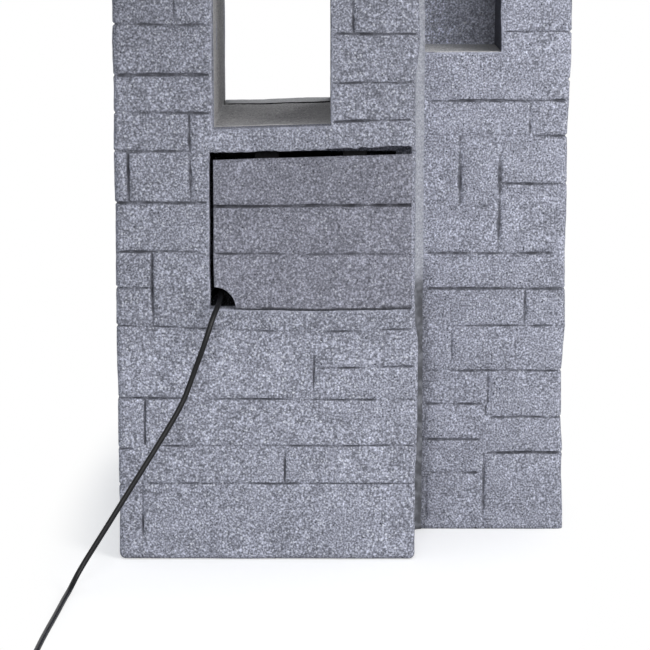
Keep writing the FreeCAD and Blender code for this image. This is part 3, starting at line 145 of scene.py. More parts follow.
# Power cord. A round PVC lead, 6 mm thick, comes out of the hatch's notch, hangs down to the floor and runs
# out to the left. What isn't in use is wound into a flat coil of two layers, and ends in a moulded plug.
CORD_THICKNESS = 0.006
cord_route = [
    (-0.1395, -0.238, 0.302),
    (-0.140, -0.262, 0.298),
    (-0.147, -0.279, 0.284),
    (-0.155, -0.287, 0.258),
    (-0.169, -0.291, 0.2205),
    (-0.180, -0.299, 0.1903),
    (-0.203, -0.313, 0.1531),
    (-0.232, -0.332, 0.1090),
    (-0.265, -0.353, 0.0580),
    (-0.290, -0.367, 0.0199),
    (-0.299, -0.386, 0.003),
    (-0.3015, -0.420, 0.003),
    (-0.304, -0.475, 0.003),
    (-0.3085, -0.550, 0.003),
    (-0.311, -0.622, 0.003),
    (-0.311, -0.682, 0.003),
]


def coil_place(turns):
    """Where the cord lies after so many turns: in along the floor, up a layer, and out again on top."""
    way_in, climb, pitch, widest = 2.5, 0.5, 0.0066, 0.042
    middle_x, middle_y, height = -0.353, -0.688, 0.003
    if turns <= way_in:
        reach = widest - pitch * turns
    elif turns <= way_in + climb:
        part = turns - way_in
        reach = widest - pitch * way_in - pitch * part + pitch * part**2 / climb
        share = part / climb
        height += pitch * (3 * share**2 - 2 * share**3)
    else:
        reach = widest - pitch * way_in + pitch * (turns - way_in - climb)
        height += pitch
    reach *= 1.0086  # the spline runs a little inside its points
    angle = -2 * math.pi * turns
    return (middle_x + reach * math.cos(angle), middle_y + reach * math.sin(angle), height)


COIL_STEPS = 24
coil_route = [coil_place(step / COIL_STEPS) for step in range(1, round(5.5 * COIL_STEPS))]
coil_route += [(-0.3953, -0.688, 0.0096), (-0.395, -0.682, 0.0096)]


def lay_cord(name, route, thickness, fineness):
    """A round cord whose middle line is one smooth spline over given points."""
    curve = bpy.data.curves.new(name, "CURVE")
    curve.dimensions = "3D"
    line = curve.splines.new("NURBS")
    line.points.add(len(route) - 1)
    for point, place in zip(line.points, route):
        point.co = (*place, 1)
    line.order_u = 3
    line.use_endpoint_u = True
    line.use_smooth = True
    curve.resolution_u = fineness
    curve.bevel_depth = thickness / 2
    curve.bevel_resolution = 4
    curve.use_fill_caps = True
    piece = bpy.data.objects.new(name, curve)
    scene.collection.objects.link(piece)
    return piece


def plain_finish(name, colour, roughness, grain=1200, grain_depth=0.15, mottle=0.12, metallic=0.0, gloss=0.5):
    """A moulded or metal finish: a named colour that varies a little, with a fine grain and uneven polish."""
    finish = bpy.data.materials.new(name)
    finish.use_nodes = True
    tree = finish.node_tree
    spot = add_node(tree, "TexCoord")["Object"]
    cloud = add_node(tree, "TexNoise", {"Vector": spot, "Scale": 35, "Detail": 4})["Fac"]
    dark, light = [(*[min(1, part * (1 + way * mottle)) for part in colour], 1) for way in (-1, 1)]
    tone = add_node(tree, "Mix", {"A": dark, "B": light, "Factor": cloud}, data_type="RGBA")
    dullest, brightest = min(1, roughness + 0.07), max(0.02, roughness - 0.07)
    polish = add_node(tree, "MapRange", {"Value": cloud, "To Min": brightest, "To Max": dullest})
    skin = add_node(tree, "TexNoise", {"Vector": spot, "Scale": grain, "Detail": 2})
    relief = add_node(tree, "Bump", {"Height": skin["Fac"], "Strength": grain_depth, "Distance": 0.0003})
    coat = tree.nodes["Principled BSDF"]
    wire(tree, coat, {"Base Color": tone["Result"], "Metallic": metallic, "Roughness": polish["Result"]})
    wire(tree, coat, {"Specular IOR Level": gloss, "Normal": relief["Normal"]})
    return finish


cord_jacket = plain_finish("cord_jacket", (0.005, 0.005, 0.006), 0.36, grain=500, grain_depth=0.2, gloss=0.25)
plug_shell = plain_finish("plug_shell", (0.016, 0.016, 0.017), 0.42, grain=1600, grain_depth=0.3)
pin_metal = plain_finish("pin_metal", (0.78, 0.68, 0.42), 0.22, grain=500, grain_depth=0.1, metallic=1.0)


def clad(finish, *nodes):
    """Gives every material slot of some CAD nodes one finish."""
    for node in nodes:
        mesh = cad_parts[node].data
        if not mesh.materials:
            mesh.materials.append(finish)
        for number in range(len(mesh.materials)):
            mesh.materials[number] = finish


clad(plug_shell, "plug_body")
clad(pin_metal, "plug_pins")

power_lead = lay_cord("power_lead", cord_route + [(-0.311, -0.6855, 0.003)] + coil_route, CORD_THICKNESS, 6)
power_lead.data.materials.append(cord_jacket)
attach(power_lead, "fountain")
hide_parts("power_cord", "cord_coil")


# Pump lead. The same round lead inside the column, held by the gland in the pump's back. It goes up to the
# notch in the hatch's corner, where it runs on as the power cord.
pump_route = [
    (-0.1625, 0.0065, 0.060),
    (-0.1865, 0.0065, 0.060),
    (-0.210, -0.003, 0.0695),
    (-0.223, -0.020, 0.0861),
    (-0.221, -0.056, 0.1259),
    (-0.207, -0.098, 0.1821),
    (-0.184, -0.136, 0.2380),
    (-0.159, -0.166, 0.2800),
    (-0.145, -0.190, 0.302),
    (-0.139, -0.214, 0.306),
    (-0.1395, -0.238, 0.302),
]
inner_lead = lay_cord("inner_lead", pump_route, CORD_THICKNESS, 8)
inner_lead.data.materials.append(cord_jacket)
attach(inner_lead, "fountain")
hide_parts("pump_lead")


# Side hose. Clear vinyl, 17 mm outside, from the valve through both columns' walls and up to the narrow
# column's spill box. It is pushed on its barbs and held by worm-drive bands.
side_route = [
    (-0.0485, 0.0065, 0.340),
    (0.123, 0.0065, 0.340),
    (0.1604, 0.0228, 0.3565),
    (0.1774, 0.0574, 0.3990),
    (0.1726, 0.0900, 0.4556),
    (0.1665, 0.1025, 0.5194),
    (0.1665, 0.1025, 0.576),
]
hose_vinyl = plain_finish("hose_vinyl", (0.50, 0.53, 0.53), 0.18, grain=260, grain_depth=0.12, mottle=0.05)
side_hose = lay_cord("side_hose", side_route, 0.017, 10)
side_hose.data.bevel_resolution = 6
side_hose.data.materials.append(hose_vinyl)
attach(side_hose, "fountain")
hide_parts("pier_hose")
clad(hose_vinyl, "riser_hose", "window_hose")


# Wide column. A hollow casting of cement with pale grit, painted grey, its random-ashlar joints pressed in by
# the mould and left uneven. The window goes right through it and the hatch opening is cut in its rear. It
# stands on the ground and is bolted to the narrow column.
def stone_finish(name, base, speck, pit, grain=3.4, speckle=1.0, pitting=1.0, bump=0.5):
    """Painted cement: coarse grain, crowded pale specks, dark pits, dark joints, pale arrises and painted
    shade.
    """
    finish = bpy.data.materials.new(name)
    finish.use_nodes = True
    tree = finish.node_tree
    spot = add_node(tree, "TexCoord")["Object"]

    def reckon(operation, first, second):
        return add_node(tree, "Math", {0: first, 1: second}, operation=operation)[0]

    def cloud(scale, detail):
        return add_node(tree, "TexNoise", {"Vector": spot, "Scale": scale, "Detail": detail})["Fac"]

    def ramp(source, low, high, to_low=0.0, to_high=1.0):
        inputs = {"Value": source, "From Min": low, "From Max": high, "To Min": to_low, "To Max": to_high}
        return add_node(tree, "MapRange", inputs, interpolation_type="SMOOTHSTEP")["Result"]

    def over(under, colour, share):
        inputs = {"A": under, "B": (*colour, 1), "Factor": share}
        return add_node(tree, "Mix", inputs, data_type="RGBA")["Result"]

    def own(attribute):
        return add_node(tree, "Attribute", attribute_name=attribute)["Fac"]

    fine = cloud(480, 1.0)
    smear = cloud(120, 2.0)
    patch = cloud(30, 3.0)
    uneven = reckon("ADD", reckon("MULTIPLY", smear, 0.16), reckon("MULTIPLY", patch, 0.16))
    tone = reckon("POWER", math.exp(grain), reckon("SUBTRACT", reckon("ADD", fine, uneven), 0.66))
    body = add_node(tree, "VectorMath", {0: base, "Scale": tone}, operation="SCALE")[0]

    warp = add_node(tree, "TexNoise", {"Vector": spot, "Scale": 700})["Color"]
    bent = add_node(tree, "VectorMath", {0: warp, 1: (0.0022,) * 3, 2: spot}, operation="MULTIPLY_ADD")[0]
    crowd = reckon("MULTIPLY", reckon("SUBTRACT", cloud(110, 2.0), 0.5), 0.9)

    def scatter(scale, size, share, weakest, strongest, crowding=None):
        cells = add_node(tree, "TexVoronoi", {"Vector": bent, "Scale": scale})
        kind = add_node(tree, "SeparateColor", {"Color": cells["Color"]})
        pick = reckon("ADD", kind["Red"], crowding) if crowding else kind["Red"]
        shape = ramp(cells["Distance"], size, size * 0.45)
        shown = reckon("MULTIPLY", shape, ramp(pick, 0.98 - share, 1.02 - share))
        return reckon("MULTIPLY", shown, ramp(kind["Green"], 0.0, 1.0, weakest, strongest))

    grit = scatter(300, 0.40, 0.42 * speckle, 0.15, 0.75, crowd)
    chips = scatter(190, 0.29, 0.26 * speckle, 0.25, 0.95, crowd)
    pores = scatter(310, 0.36, 0.16 * pitting, 0.35, 1.0)
    holes = scatter(150, 0.20, 0.10 * pitting, 0.6, 1.0)
    for colour, share in ((speck, grit), (speck, chips), (pit, pores), (pit, holes)):
        body = over(body, colour, share)

    rag = ramp(smear, 0.30, 0.62, 0.55, 1.0)
    # Over it: dark joints with painted shade at the foot and in the coves, pale worn arrises, and painted
    # shade.
    for strength, share in (
        (0.26, reckon("MULTIPLY", ramp(own("joints_and_shade"), 0.25, 0.9), rag)),
        (1.9, reckon("MULTIPLY", own("arris"), rag)),
        (0.12, own("shade")),
    ):
        body = over(body, tuple(min(1.0, part * strength) for part in base), share)

    raised = reckon("ADD", fine, reckon("MULTIPLY", reckon("MAXIMUM", grit, chips), 0.6))
    height = reckon("SUBTRACT", raised, reckon("MULTIPLY", reckon("MAXIMUM", pores, holes), 1.5))
    relief = add_node(tree, "Bump", {"Height": height, "Strength": bump, "Distance": 0.0008})
    coat = tree.nodes["Principled BSDF"]
    wire(tree, coat, {"Base Color": body, "Roughness": 0.88, "Specular IOR Level": 0.22})
    wire(tree, coat, {"Normal": relief["Normal"]})
    return finish


painted_stone = stone_finish(
    "painted_stone", (0.250, 0.258, 0.308), (0.66, 0.68, 0.75), (0.035, 0.037, 0.046)
)
raw_cement = stone_finish(
    "raw_cement", (0.290, 0.285, 0.290), (0.48, 0.48, 0.48), (0.06, 0.058, 0.055), 2.2, 0.5, 0.6, bump=0.35
)

SLICE, MERGE, TOUCH = 1e-6, 1e-5, 2e-5  # within these, in metres, a cut, corners or a place count as one
CAD_JOINT_DEPTH = 0.002
RIM_REACH = 0.010  # how far from an opening the stone is cut finely
RIM_STEPS = (0.0012, 0.0035)
CHIP_REACH, CHIP_FADE = 0.006, 0.0017  # how far from an opening's edge it is worn
JOINT_WIDTH = 2.1  # in mm, as every joint's place is
ALONG = ((1, 0, 0), (0, 1, 0), (0, 0, 1))
WAYS = {"rear": (0, -1, 0), "front": (0, 1, 0), "left": (-1, 0, 0), "right": (1, 0, 0)}


def whole_mesh(node, low=None, high=None):
    """A CAD casting's mesh with its triangles joined, its joints filled and its flat faces whole again."""
    solid = bmesh.new()
    solid.from_mesh(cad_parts[node].data)
    bmesh.ops.remove_doubles(solid, verts=solid.verts, dist=MERGE)
    if low:
        for vert in solid.verts:
            for axis in (0, 1):
                for skin, inward in ((low[axis], CAD_JOINT_DEPTH), (high[axis], -CAD_JOINT_DEPTH)):
                    if abs(vert.co[axis] - (skin + inward)) < MERGE:
                        vert.co[axis] = skin
        bmesh.ops.remove_doubles(solid, verts=solid.verts, dist=MERGE)
        bmesh.ops.dissolve_degenerate(solid, edges=solid.edges, dist=SLICE)
    bmesh.ops.dissolve_limit(solid, angle_limit=math.radians(0.5), verts=solid.verts, edges=solid.edges)
    bmesh.ops.triangulate(solid, faces=[face for face in solid.faces if len(face.verts) > 4])
    return solid


def slice_across(solid, faces, way, places):
    """Cuts the faces by planes square to one direction, from the lowest place to the highest."""
    way = Vector(way)
    below = []
    above = list(faces)
    for place in sorted(places):
        crossed, left_over = [], []
        for face in above:
            reach = [vert.co.dot(way) for vert in face.verts]
            if max(reach) <= place + TOUCH:
                below.append(face)
            elif min(reach) >= place - TOUCH:
                left_over.append(face)
            else:
                crossed.append(face)
        if crossed:
            parts = set(crossed)
            for face in crossed:
                parts.update(face.edges)
                parts.update(face.verts)
            cut = bmesh.ops.bisect_plane(
                solid, geom=list(parts), dist=SLICE, plane_co=way * place, plane_no=way
            )
            for part in cut["geom"]:
                if isinstance(part, bmesh.types.BMFace):
                    if part.calc_center_median().dot(way) > place:
                        left_over.append(part)
                    else:
                        below.append(part)
        above = left_over
    return below + above


def with_fillers(places, start, end, widest):
    """The places in order, none nearer than 0.4 mm to the next, and more between them where a gap is wide."""
    stops = [start]
    for place in sorted(places):
        if stops[-1] + 0.0004 < place < end - 0.0004:
            stops.append(place)
    stops.append(end)
    filled = []
    for first, last in zip(stops, stops[1:]):
        parts = max(1, math.ceil((last - first) / widest))
        filled += [first + (last - first) * number / parts for number in range(1 if filled else 0, parts + 1)]
    return filled


def joint_width(joint):
    """The width of a joint, which its row may leave out."""
    return joint[4] if len(joint) > 4 else JOINT_WIDTH


def joint_cuts(joint):
    """Where the mesh is cut for a joint's bottom and its two shoulders."""
    return [(joint[0] + joint_width(joint) * step) / 1000 for step in (-1.15, -0.45, 0, 0.45, 1.15)]


def courses(start, end, *heights):
    """Plain level joints at some heights, from one end to the other."""
    return [(height, start, end) for height in heights]


def round_corners(joints):
    """Joints by side as carve takes them. Level ones that reach a side's end run on round the corner."""
    rounded = {}
    for side, (start, end, gap, level, upright) in joints.items():
        runs = []
        for height, first, last, *rest in level:
            first -= 14 if first < start + 1.5 else 0
            last += 14 if last > end - 1.5 else 0
            runs.append((height, first, last, *rest))
        rounded[side] = (runs, upright, gap)
    return rounded


def cut_rims(solid, openings, skin):
    """Cuts the stone finely along the rims of openings in the rear, so that they can be worn and chipped."""
    for first, last, base, top, broken in openings:
        for axis, low, high in ((0, first, last), (2, base, top)):
            cross = 2 - axis
            start, end = ((base, top), (first, last))[axis // 2]

            def by_rim(face, aside, past, deepest):
                middle = face.calc_center_median()
                return (
                    middle.y < skin + deepest
                    and min(abs(middle[axis] - rim) for rim in (low, high)) < aside
                    and start - past < middle[cross] < end + past
                )

            reveal = [
                face
                for face in solid.faces
                if abs(face.normal[axis]) > 0.9
                and by_rim(face, 0.001, 0.002, 0.03)
                and face.calc_center_median().y > skin
            ]
            slice_across(solid, reveal, ALONG[1], [skin + depth for depth in (*RIM_STEPS, 0.009, 0.016)])
            near = [face for face in solid.faces if by_rim(face, RIM_REACH, RIM_REACH, 0.0095)]
            places = [low - step for step in RIM_STEPS] + [high + step for step in RIM_STEPS]
            near = slice_across(solid, near, ALONG[axis], places)
            run = end - start + 2 * RIM_REACH
            steps = round(run / 0.0027)
            places = [start - RIM_REACH + run * step / steps for step in range(steps + 1)]
            slice_across(solid, near, ALONG[cross], places)


def random_courses(seed, start, end, low, high):
    """Random ashlar for a face that the photograph doesn't show: level joints and upright ones, in mm."""
    dice = random.Random(seed)
    level, upright = [], []
    base = low
    while base < high:
        top = base + dice.choice((30, 36, 42, 48, 55, 62))
        if high - top < 24:
            top = high
        along = start
        blocks = []
        while along < end:
            far = along + dice.uniform(70, 190)
            if end - far < 45:
                far = end
            blocks.append((along, far))
            along = far
        for number, (first, last) in enumerate(blocks):
            if last < end - 1:
                upright.append((last, base, top))
        if top < high:
            level.append((top, start - 12, end + 12))
            tall = dice.choice(blocks)
            if dice.random() < 0.35 and tall[1] - tall[0] < 120 and len(blocks) > 1:
                level.pop()
                if tall[0] > start:
                    level.append((top, start - 12, tall[0]))
                if tall[1] < end:
                    level.append((top, tall[1], end + 12))
        base = top
    return level, upright


noise.seed_set(7)  # without a seed, noise vectors differ from run to run


def settle(point, crooked):
    """How far the casting is out of true: wavy all over, and out of level where the photograph shows it."""
    shift = noise.noise_vector(point * 19) * 0.0009 + noise.noise_vector(point * 62) * 0.0003
    shift.z *= min(1, max(0, point.z / 0.02))
    if crooked:
        x, z = point.x * 1000, point.z * 1000
        slope = 0.033 * (max(x, -150) + 40) + 1.5
        shift.z += 0.001 * slope * math.exp(-(((z - 478) / 60) ** 2))
        bow = np.interp(x, (-254, -179, -40, 72), (4, 1.5, -4, 0))
        shift.z += 0.001 * bow * math.exp(-(((z - 250) / 50) ** 2))
    return shift


def make_piece(solid, name, node, finishes, pick, body):
    """Makes a dressed casting the piece that stands for its CAD node. pick numbers a face's finish."""
    for face in solid.faces:
        face.material_index = pick(face.calc_center_median(), face.normal) if pick else 0
    mesh = bpy.data.meshes.new(name)
    solid.to_mesh(mesh)
    solid.free()
    mesh.set_sharp_from_angle(angle=math.radians(48))
    for finish in finishes:
        mesh.materials.append(finish)
    piece = bpy.data.objects.new(name, mesh)
    scene.collection.objects.link(piece)
    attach(piece, body)
    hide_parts(node)
    return piece


def carve(
    name, node, low, high, corner, joints, regions, finishes, seams=(), crooked=False, inside=None,
    openings=(), chipping=None, lean=None, pick=None, darker=None, body="fountain",
):
    """Dresses a CAD casting: cuts its outer faces along their joints, presses these in and roughens it all.

    low, high and corner give the outer block and its rounded corners. joints has, by side, level and upright
    joints in mm and the widest gap between cuts in metres. regions says which faces are cut, by side, and
    seams where a side is first cut through. inside tells the points that stay as cast. openings are the
    rear's, as (left, right, bottom, top, depth of the broken head), and chipping how far a rim is worn away.
    lean shifts points in X, and darker is how much painted shade darkens a point.
    """
    solid = whole_mesh(node, low, high)
    low, high = Vector(low), Vector(high)
    core_low = low + Vector((corner,) * 3)
    core_high = high - Vector((corner,) * 3)

    def outward(point):
        near = Vector([min(max(point[axis], core_low[axis]), core_high[axis]) for axis in range(3)])
        return point - near

    def side_faces(side, least):
        way = Vector(WAYS[side])
        return [
            face
            for face in solid.faces
            if face.normal.dot(way) > least and regions[side](face.calc_center_median())
        ]

    def fade(distance):
        return math.exp(-((distance / CHIP_FADE) ** 2))

    solid.normal_update()
    for side, way, place in seams:
        plain = [face for face in solid.faces if face.normal.dot(Vector(WAYS[side])) > 0.99]
        slice_across(solid, plain, way, [place])
    for side, (level, upright, gap) in joints.items():
        faces = side_faces(side, 0.3)
        heights = [vert.co.z for face in faces for vert in face.verts]
        cuts = [place for joint in level for place in joint_cuts(joint)]
        slice_across(solid, faces, ALONG[2], with_fillers(cuts, min(heights), max(heights), gap))
    across = {side: 0 if side in ("rear", "front") else 1 for side in joints}
    for side, (level, upright, gap) in joints.items():
        faces = side_faces(side, 0.99)
        for joint in upright:
            band = [
                face
                for face in faces
                if face.is_valid and joint[1] - 4 < face.calc_center_median().z * 1000 < joint[2] + 4
            ]
            kept = set(band)
            faces = [face for face in faces if face not in kept]
            faces += slice_across(solid, band, ALONG[across[side]], joint_cuts(joint))
    for side, (level, upright, gap) in joints.items():
        faces = side_faces(side, 0.3)
        spans = [vert.co[across[side]] for face in faces for vert in face.verts]
        slice_across(solid, faces, ALONG[across[side]], with_fillers([], min(spans), max(spans), gap))
    cut_rims(solid, openings, low.y)

    joints_and_shade, arris, shade = [solid.verts.layers.float.new(key) for key in ("joints_and_shade", "arris", "shade")]
    solid.normal_update()
    verts = list(solid.verts)
    places = np.array([vert.co for vert in verts]) * 1000
    deepest = np.zeros(len(verts))
    outs = [outward(vert.co) for vert in verts]
    on_skin = np.array([out.length > corner - 2e-4 for out in outs])
    ways = np.array([out.normalized() if out.length > 1e-6 else Vector((0, 0, 0)) for out in outs])
    ragged = np.array([noise.noise(vert.co * 45) + 0.5 * noise.noise(vert.co * 110) for vert in verts])
    for side, (level, upright, gap) in joints.items():
        facing = np.clip(ways @ np.array(WAYS[side], float), 0, 1) ** 2
        aside, up = places[:, across[side]], places[:, 2]
        for rows, over, run in ((level, up, aside), (upright, aside, up)):
            for joint in rows:
                middle, start, end = joint[:3]
                strength = joint[3] if len(joint) > 3 else 1.0
                off = np.abs(over - middle) / joint_width(joint)
                ends = np.clip((run - start) / 6 + 0.5, 0, 1) * np.clip((end - run) / 6 + 0.5, 0, 1)
                deepest = np.maximum(deepest, strength * np.exp(-((off / 0.62) ** 2)) * ends * facing)
    depth = deepest * on_skin * np.clip(0.85 + 0.75 * ragged, 0.15, 1.25)

    rims = np.zeros((len(verts), 3))
    worn = np.zeros(len(verts))
    for first, last, base, top, broken in openings:
        spots = places / 1000
        beside = np.maximum(first - spots[:, 0], spots[:, 0] - last)
        beyond = np.maximum(base - spots[:, 2], spots[:, 2] - top)
        off = np.hypot(np.maximum(beside, 0), np.maximum(beyond, 0))
        behind = spots[:, 1] - low.y
        head = spots[:, 2] > (base + top) / 2
        reach = np.where(head, max(CHIP_REACH, broken), CHIP_REACH)
        for number in np.nonzero((off < CHIP_REACH) & (behind < reach))[0]:
            point = verts[number].co
            nearness = fade(math.hypot(off[number], behind[number]))
            if beside[number] > beyond[number]:
                away = Vector((-1 if point.x < (first + last) / 2 else 1, 1, 0))
            else:
                away = Vector((0, 1, 1 if head[number] else -1))
            rims[number] = away * nearness * chipping(point)
            if broken and head[number] and beyond[number] > beside[number]:
                rims[number][2] = fade(off[number]) * chipping(Vector((point.x, low.y, point.z)))
            worn[number] = nearness * min(1, max(0, 0.55 + 0.6 * ragged[number]))

    # Painted shade: a dark band along the bottom 6 mm of the skin, where the casting meets the ground.
    shade_and_cracks = np.clip(1 - places[:, 2] / 6, 0, 1) * 0.42 * on_skin
    for number, vert in enumerate(verts):
        vert[joints_and_shade] = min(1.0, max(depth[number], shade_and_cracks[number]))
        vert[arris] = worn[number]
        vert[shade] = darker(vert.co) if darker else 0.0
        if inside and inside(vert.co):
            continue
        point = vert.co.copy()
        move = settle(point, crooked)
        if on_skin[number]:
            rough = 0.0005 * noise.noise(point * 33) + 0.0004 * noise.noise(point * 150)
            move += Vector(ways[number]) * (rough - 0.0026 * depth[number])
        move += Vector(rims[number])
        if lean:
            move.x += lean(point)
        vert.co += move
    return make_piece(solid, name, node, finishes, pick, body)


# By side: its ends, the widest gap between cuts, the level joints as (height, start, end, strength, width),
# and the upright ones as (place, low, high, strength, width).
wide_joints = {
    "rear": (
        -248, 69, 0.007,
        [
            (86.5, -248, -240), (88.5, -226, 69), (128.5, -248, -238), (132, -208, 69), (223, -33, 69),
            (310.5, -248, -219), (352, -248, -160, 1.2, 2.5), (407, -248, -154, 1.3, 2.8),
            (465.5, -248, -175, 1.2, 2.8), (494, -15, 69, 1.1, 2.6), (507.5, -248, -150, 1.35, 2.8),
            (537, -14, 69, 1.1, 2.6), (547.5, -248, -150, 1.4, 3.0), (592, -15, 69, 1.1, 2.6),
            (602, -248, -150, 1.4, 3.0), (708, -248, -172), (742, 0, 69), (751, -240, -150), (879, -248, 30),
            *courses(-248, 69, 185.5, 265, 838, 915), *courses(-15, 69, 640, 690, 786),
            *courses(-248, -150, 664, 792),
        ],
        [
            (-229.5, 22, 88.5), (-69.5, 88.5, 132), (-225.5, 132, 185.5), (-36.5, 185.5, 242),
            (-215.5, 265, 352, 1.2, 2.6), (-240, 407, 465.5, 1.3, 2.8), (-172.5, 407, 507.5, 1.2, 2.6),
            (6.5, 592, 640, 1.2, 2.6), (-189, 602, 664), (40, 640, 690), (-170, 664, 708), (-205, 708, 751),
            (22, 742, 786), (-222, 751, 792), (-120, 792, 838), (-8, 838, 879), (-180, 838, 879),
            (32, 879, 915), (-95, 879, 915), (-150, 915, 954), (5, 915, 954),
        ],
    ),
    "left": (
        -248, 56, 0.009,
        [
            *courses(-248, 56, 86.5, 185.5, 265, 407, 547.5, 602, 664, 751, 792, 838, 915),
            (128.5, -248, -107), (145, -101, 56), (310.5, -248, -140), (340, -135, 56), (465.5, -248, -84),
            (480, -79, 56), (507.5, -248, -84),
        ],
        [
            (-54, 6, 86.5), (-104, 86.5, 185.5), (-150, 185.5, 265), (-20, 185.5, 265), (-137.5, 265, 407),
            (-30, 340, 407), (-190, 465.5, 507.5), (-81.5, 407, 547.5), (10, 480, 547.5), (-147, 547.5, 602),
            (-26, 547.5, 602), (-65, 602, 664), (-97, 664, 751), (-10, 664, 751), (-175, 751, 792),
            (-79, 792, 838), (-140, 838, 915), (0, 838, 915), (-60, 915, 954),
        ],
    ),
    "front": (
        -248, 69, 0.010,
        [
            *courses(-248, 62, 265, 400, 450), *courses(-248, -150, 507, 562, 620, 680, 735, 790),
            *courses(-15, 62, 505, 590, 650, 715, 775), *courses(-248, 69, 838, 885),
            (310, -248, -60), (344, -55, 62), (920, -248, -40),
        ],
        [
            (-120, 205, 265), (0, 205, 265), (-57.5, 265, 400), (-170, 265, 310), (-180, 310, 400),
            (-100, 400, 450), (10, 400, 450), (-200, 507, 562), (30, 590, 650), (-175, 620, 680),
            (-215, 680, 735), (20, 715, 775), (-185, 735, 790), (-150, 838, 885), (-30, 838, 885),
            (-90, 885, 920), (-37, 885, 954),
        ],
    ),
    "right": (
        -248, 56, 0.010,
        [
            *courses(-248, -135, 88.5, 132, 185.5, 265, 330, 407, 494, 537, 592, 640, 690, 742, 786, 838),
            *courses(-248, 56, 879, 915),
        ],
        [
            (-190, 132, 185.5), (-175, 330, 407), (-200, 592, 640), (-165, 742, 786), (-60, 879, 915),
            (-170, 879, 915), (0, 915, 954), (-120, 915, 954),
        ],
    ),
}


def wide_column_still(point):
    """Points that stay as cast: the hollow, apart from the window's passage, and where neighbours bear."""
    if point.x > 0.0768 and -0.1206 < point.y < 0.0636 and point.z < 0.8242:
        return True
    if point.y > 0.0634 and point.z < 0.2:
        return True
    if not (-0.2341 < point.x < 0.0551 and -0.2336 < point.y < 0.0416):
        return False
    return not (-0.1472 < point.x < -0.0178 and 0.4898 < point.z < 0.8152)


def wide_column_lean(point):
    """How far the rear's right arris stands out of line, as the photograph shows it."""
    heights = (0, 93, 185, 253, 264, 400, 538, 587, 628, 700, 954)
    stands = (0, 1.0, 2.5, 2.0, -0.5, -1.5, -2.0, 3.5, 1.5, 0.0, 0.0)
    near = min(1, max(0, (point.x - 0.045) / 0.030)) * min(1, max(0, (-0.135 - point.y) / 0.06))
    return 0.001 * float(np.interp(point.z * 1000, heights, stands)) * near


def wide_column_chipping(point):
    """The window's rim is a little worn, and the head over the hatch was broken away raggedly."""
    loss = 0.0007 + 0.0010 * max(0, noise.noise(point * 160)) + 0.0006 * noise.noise(point * 60)
    if 0.455 < point.z < 0.475:
        loss += 0.0006 + 0.0022 * max(0, noise.noise(point * 210))
        loss += 0.0030 * math.exp(-(((point.x - 0.050) / 0.014) ** 2))
    return max(0.0002, loss)


def wide_column_painted_shade(point):
    """Painted shade on the wide column's rear: darker towards the top, and most of all at the top left."""
    if point.y > -0.24:
        return 0.0
    heights = (0.19, 0.21, 0.29, 0.45, 0.55, 0.63)
    tones = (-0.04, 0.0, 0.20, 0.23, 0.27, 0.31)
    top_left = min(1, max(0, (point.z - 0.52) / 0.08)) * min(1, max(0, (-0.150 - point.x) / 0.02))
    return float(np.interp(point.z, heights, tones)) + 0.10 * top_left


carve(
    "wide_column",
    "wall_column",
    (-0.256, -0.2555, 0),
    (0.077, 0.0635, 1.2),
    0.007,
    round_corners(wide_joints),
    {
        "rear": lambda middle: middle.y < -0.2485,
        "left": lambda middle: middle.x < -0.249,
        "front": lambda middle: middle.y > 0.0565,
        "right": lambda middle: middle.x > 0.070 and (middle.y < -0.1205 or middle.z > 0.824),
    },
    [painted_stone],
    seams=[("right", (0, 1, 0), -0.1205), ("right", (0, 0, 1), 0.824)],
    crooked=True,
    inside=wide_column_still,
    openings=[(-0.147, -0.018, 0.490, 0.815, 0), (-0.1515, 0.072, 0.288, 0.462, 0.0215)],
    chipping=wide_column_chipping,
    lean=wide_column_lean,
    darker=wide_column_painted_shade,
)


# Window liner. A separate cast frame between the two faces, which lines the window's jambs, head and sill. It
# was never carved, so it is smooth, and it was left unpainted but for what drifted over the edges.
def wear(
    name, node, finishes, spacing, pick=None, crooked=False, still=None, rough=0.0004, closer=None,
    shape=None, worn=None, shade_and_cracks=None,
):
    """Dresses a plain casting: cut into a mesh fine enough to be a little uneven, as its mould left it.

    closer is a part cut more finely, as (low, high, places in Y, step in X). shape gives extra shifts, worn
    how pale a point is worn, and the last how dark it is painted for shade and cracks.
    """
    solid = whole_mesh(node)
    for way in (ALONG[2], ALONG[0], ALONG[1]):
        spots = [vert.co.dot(Vector(way)) for vert in solid.verts]
        slice_across(solid, list(solid.faces), way, with_fillers([], min(spots), max(spots), spacing))
    if closer:
        low, high, depths, step = closer
        part = [
            face
            for face in solid.faces
            if all(low[axis] < face.calc_center_median()[axis] < high[axis] for axis in range(3))
        ]
        part = slice_across(solid, part, ALONG[1], depths)
        count = round((high[0] - low[0]) / step)
        slice_across(solid, part, ALONG[0], [low[0] + step * number for number in range(1, count)])
    solid.normal_update()
    joints_and_shade, arris = [solid.verts.layers.float.new(key) for key in ("joints_and_shade", "arris")]
    moves = []
    for vert in solid.verts:
        vert[joints_and_shade] = shade_and_cracks(vert.co) if shade_and_cracks else 0.0
        vert[arris] = worn(vert.co) if worn else 0.0
        if still and still(vert.co):
            continue
        point = vert.co.copy()
        bump = rough * noise.noise(point * 33) + rough * 0.6 * noise.noise(point * 150)
        move = settle(point, crooked) + vert.normal * bump
        if shape:
            move += shape(point)
        moves.append((vert, move))
    for vert, move in moves:
        vert.co += move
        vert.co.z = max(vert.co.z, 0)
    make_piece(solid, name, node, finishes, pick, "fountain")


def in_passage(point):
    return -0.1475 < point.x < -0.0175 and 0.4675 < point.z < 0.8155


def liner_finish(middle, normal):
    """Bare cement all round the passage, painted outside it, and black painted shadow down in the slot."""
    if middle.y > 0.0185 and middle.z < 0.4898:
        return 2
    return 1 if in_passage(middle) else 0


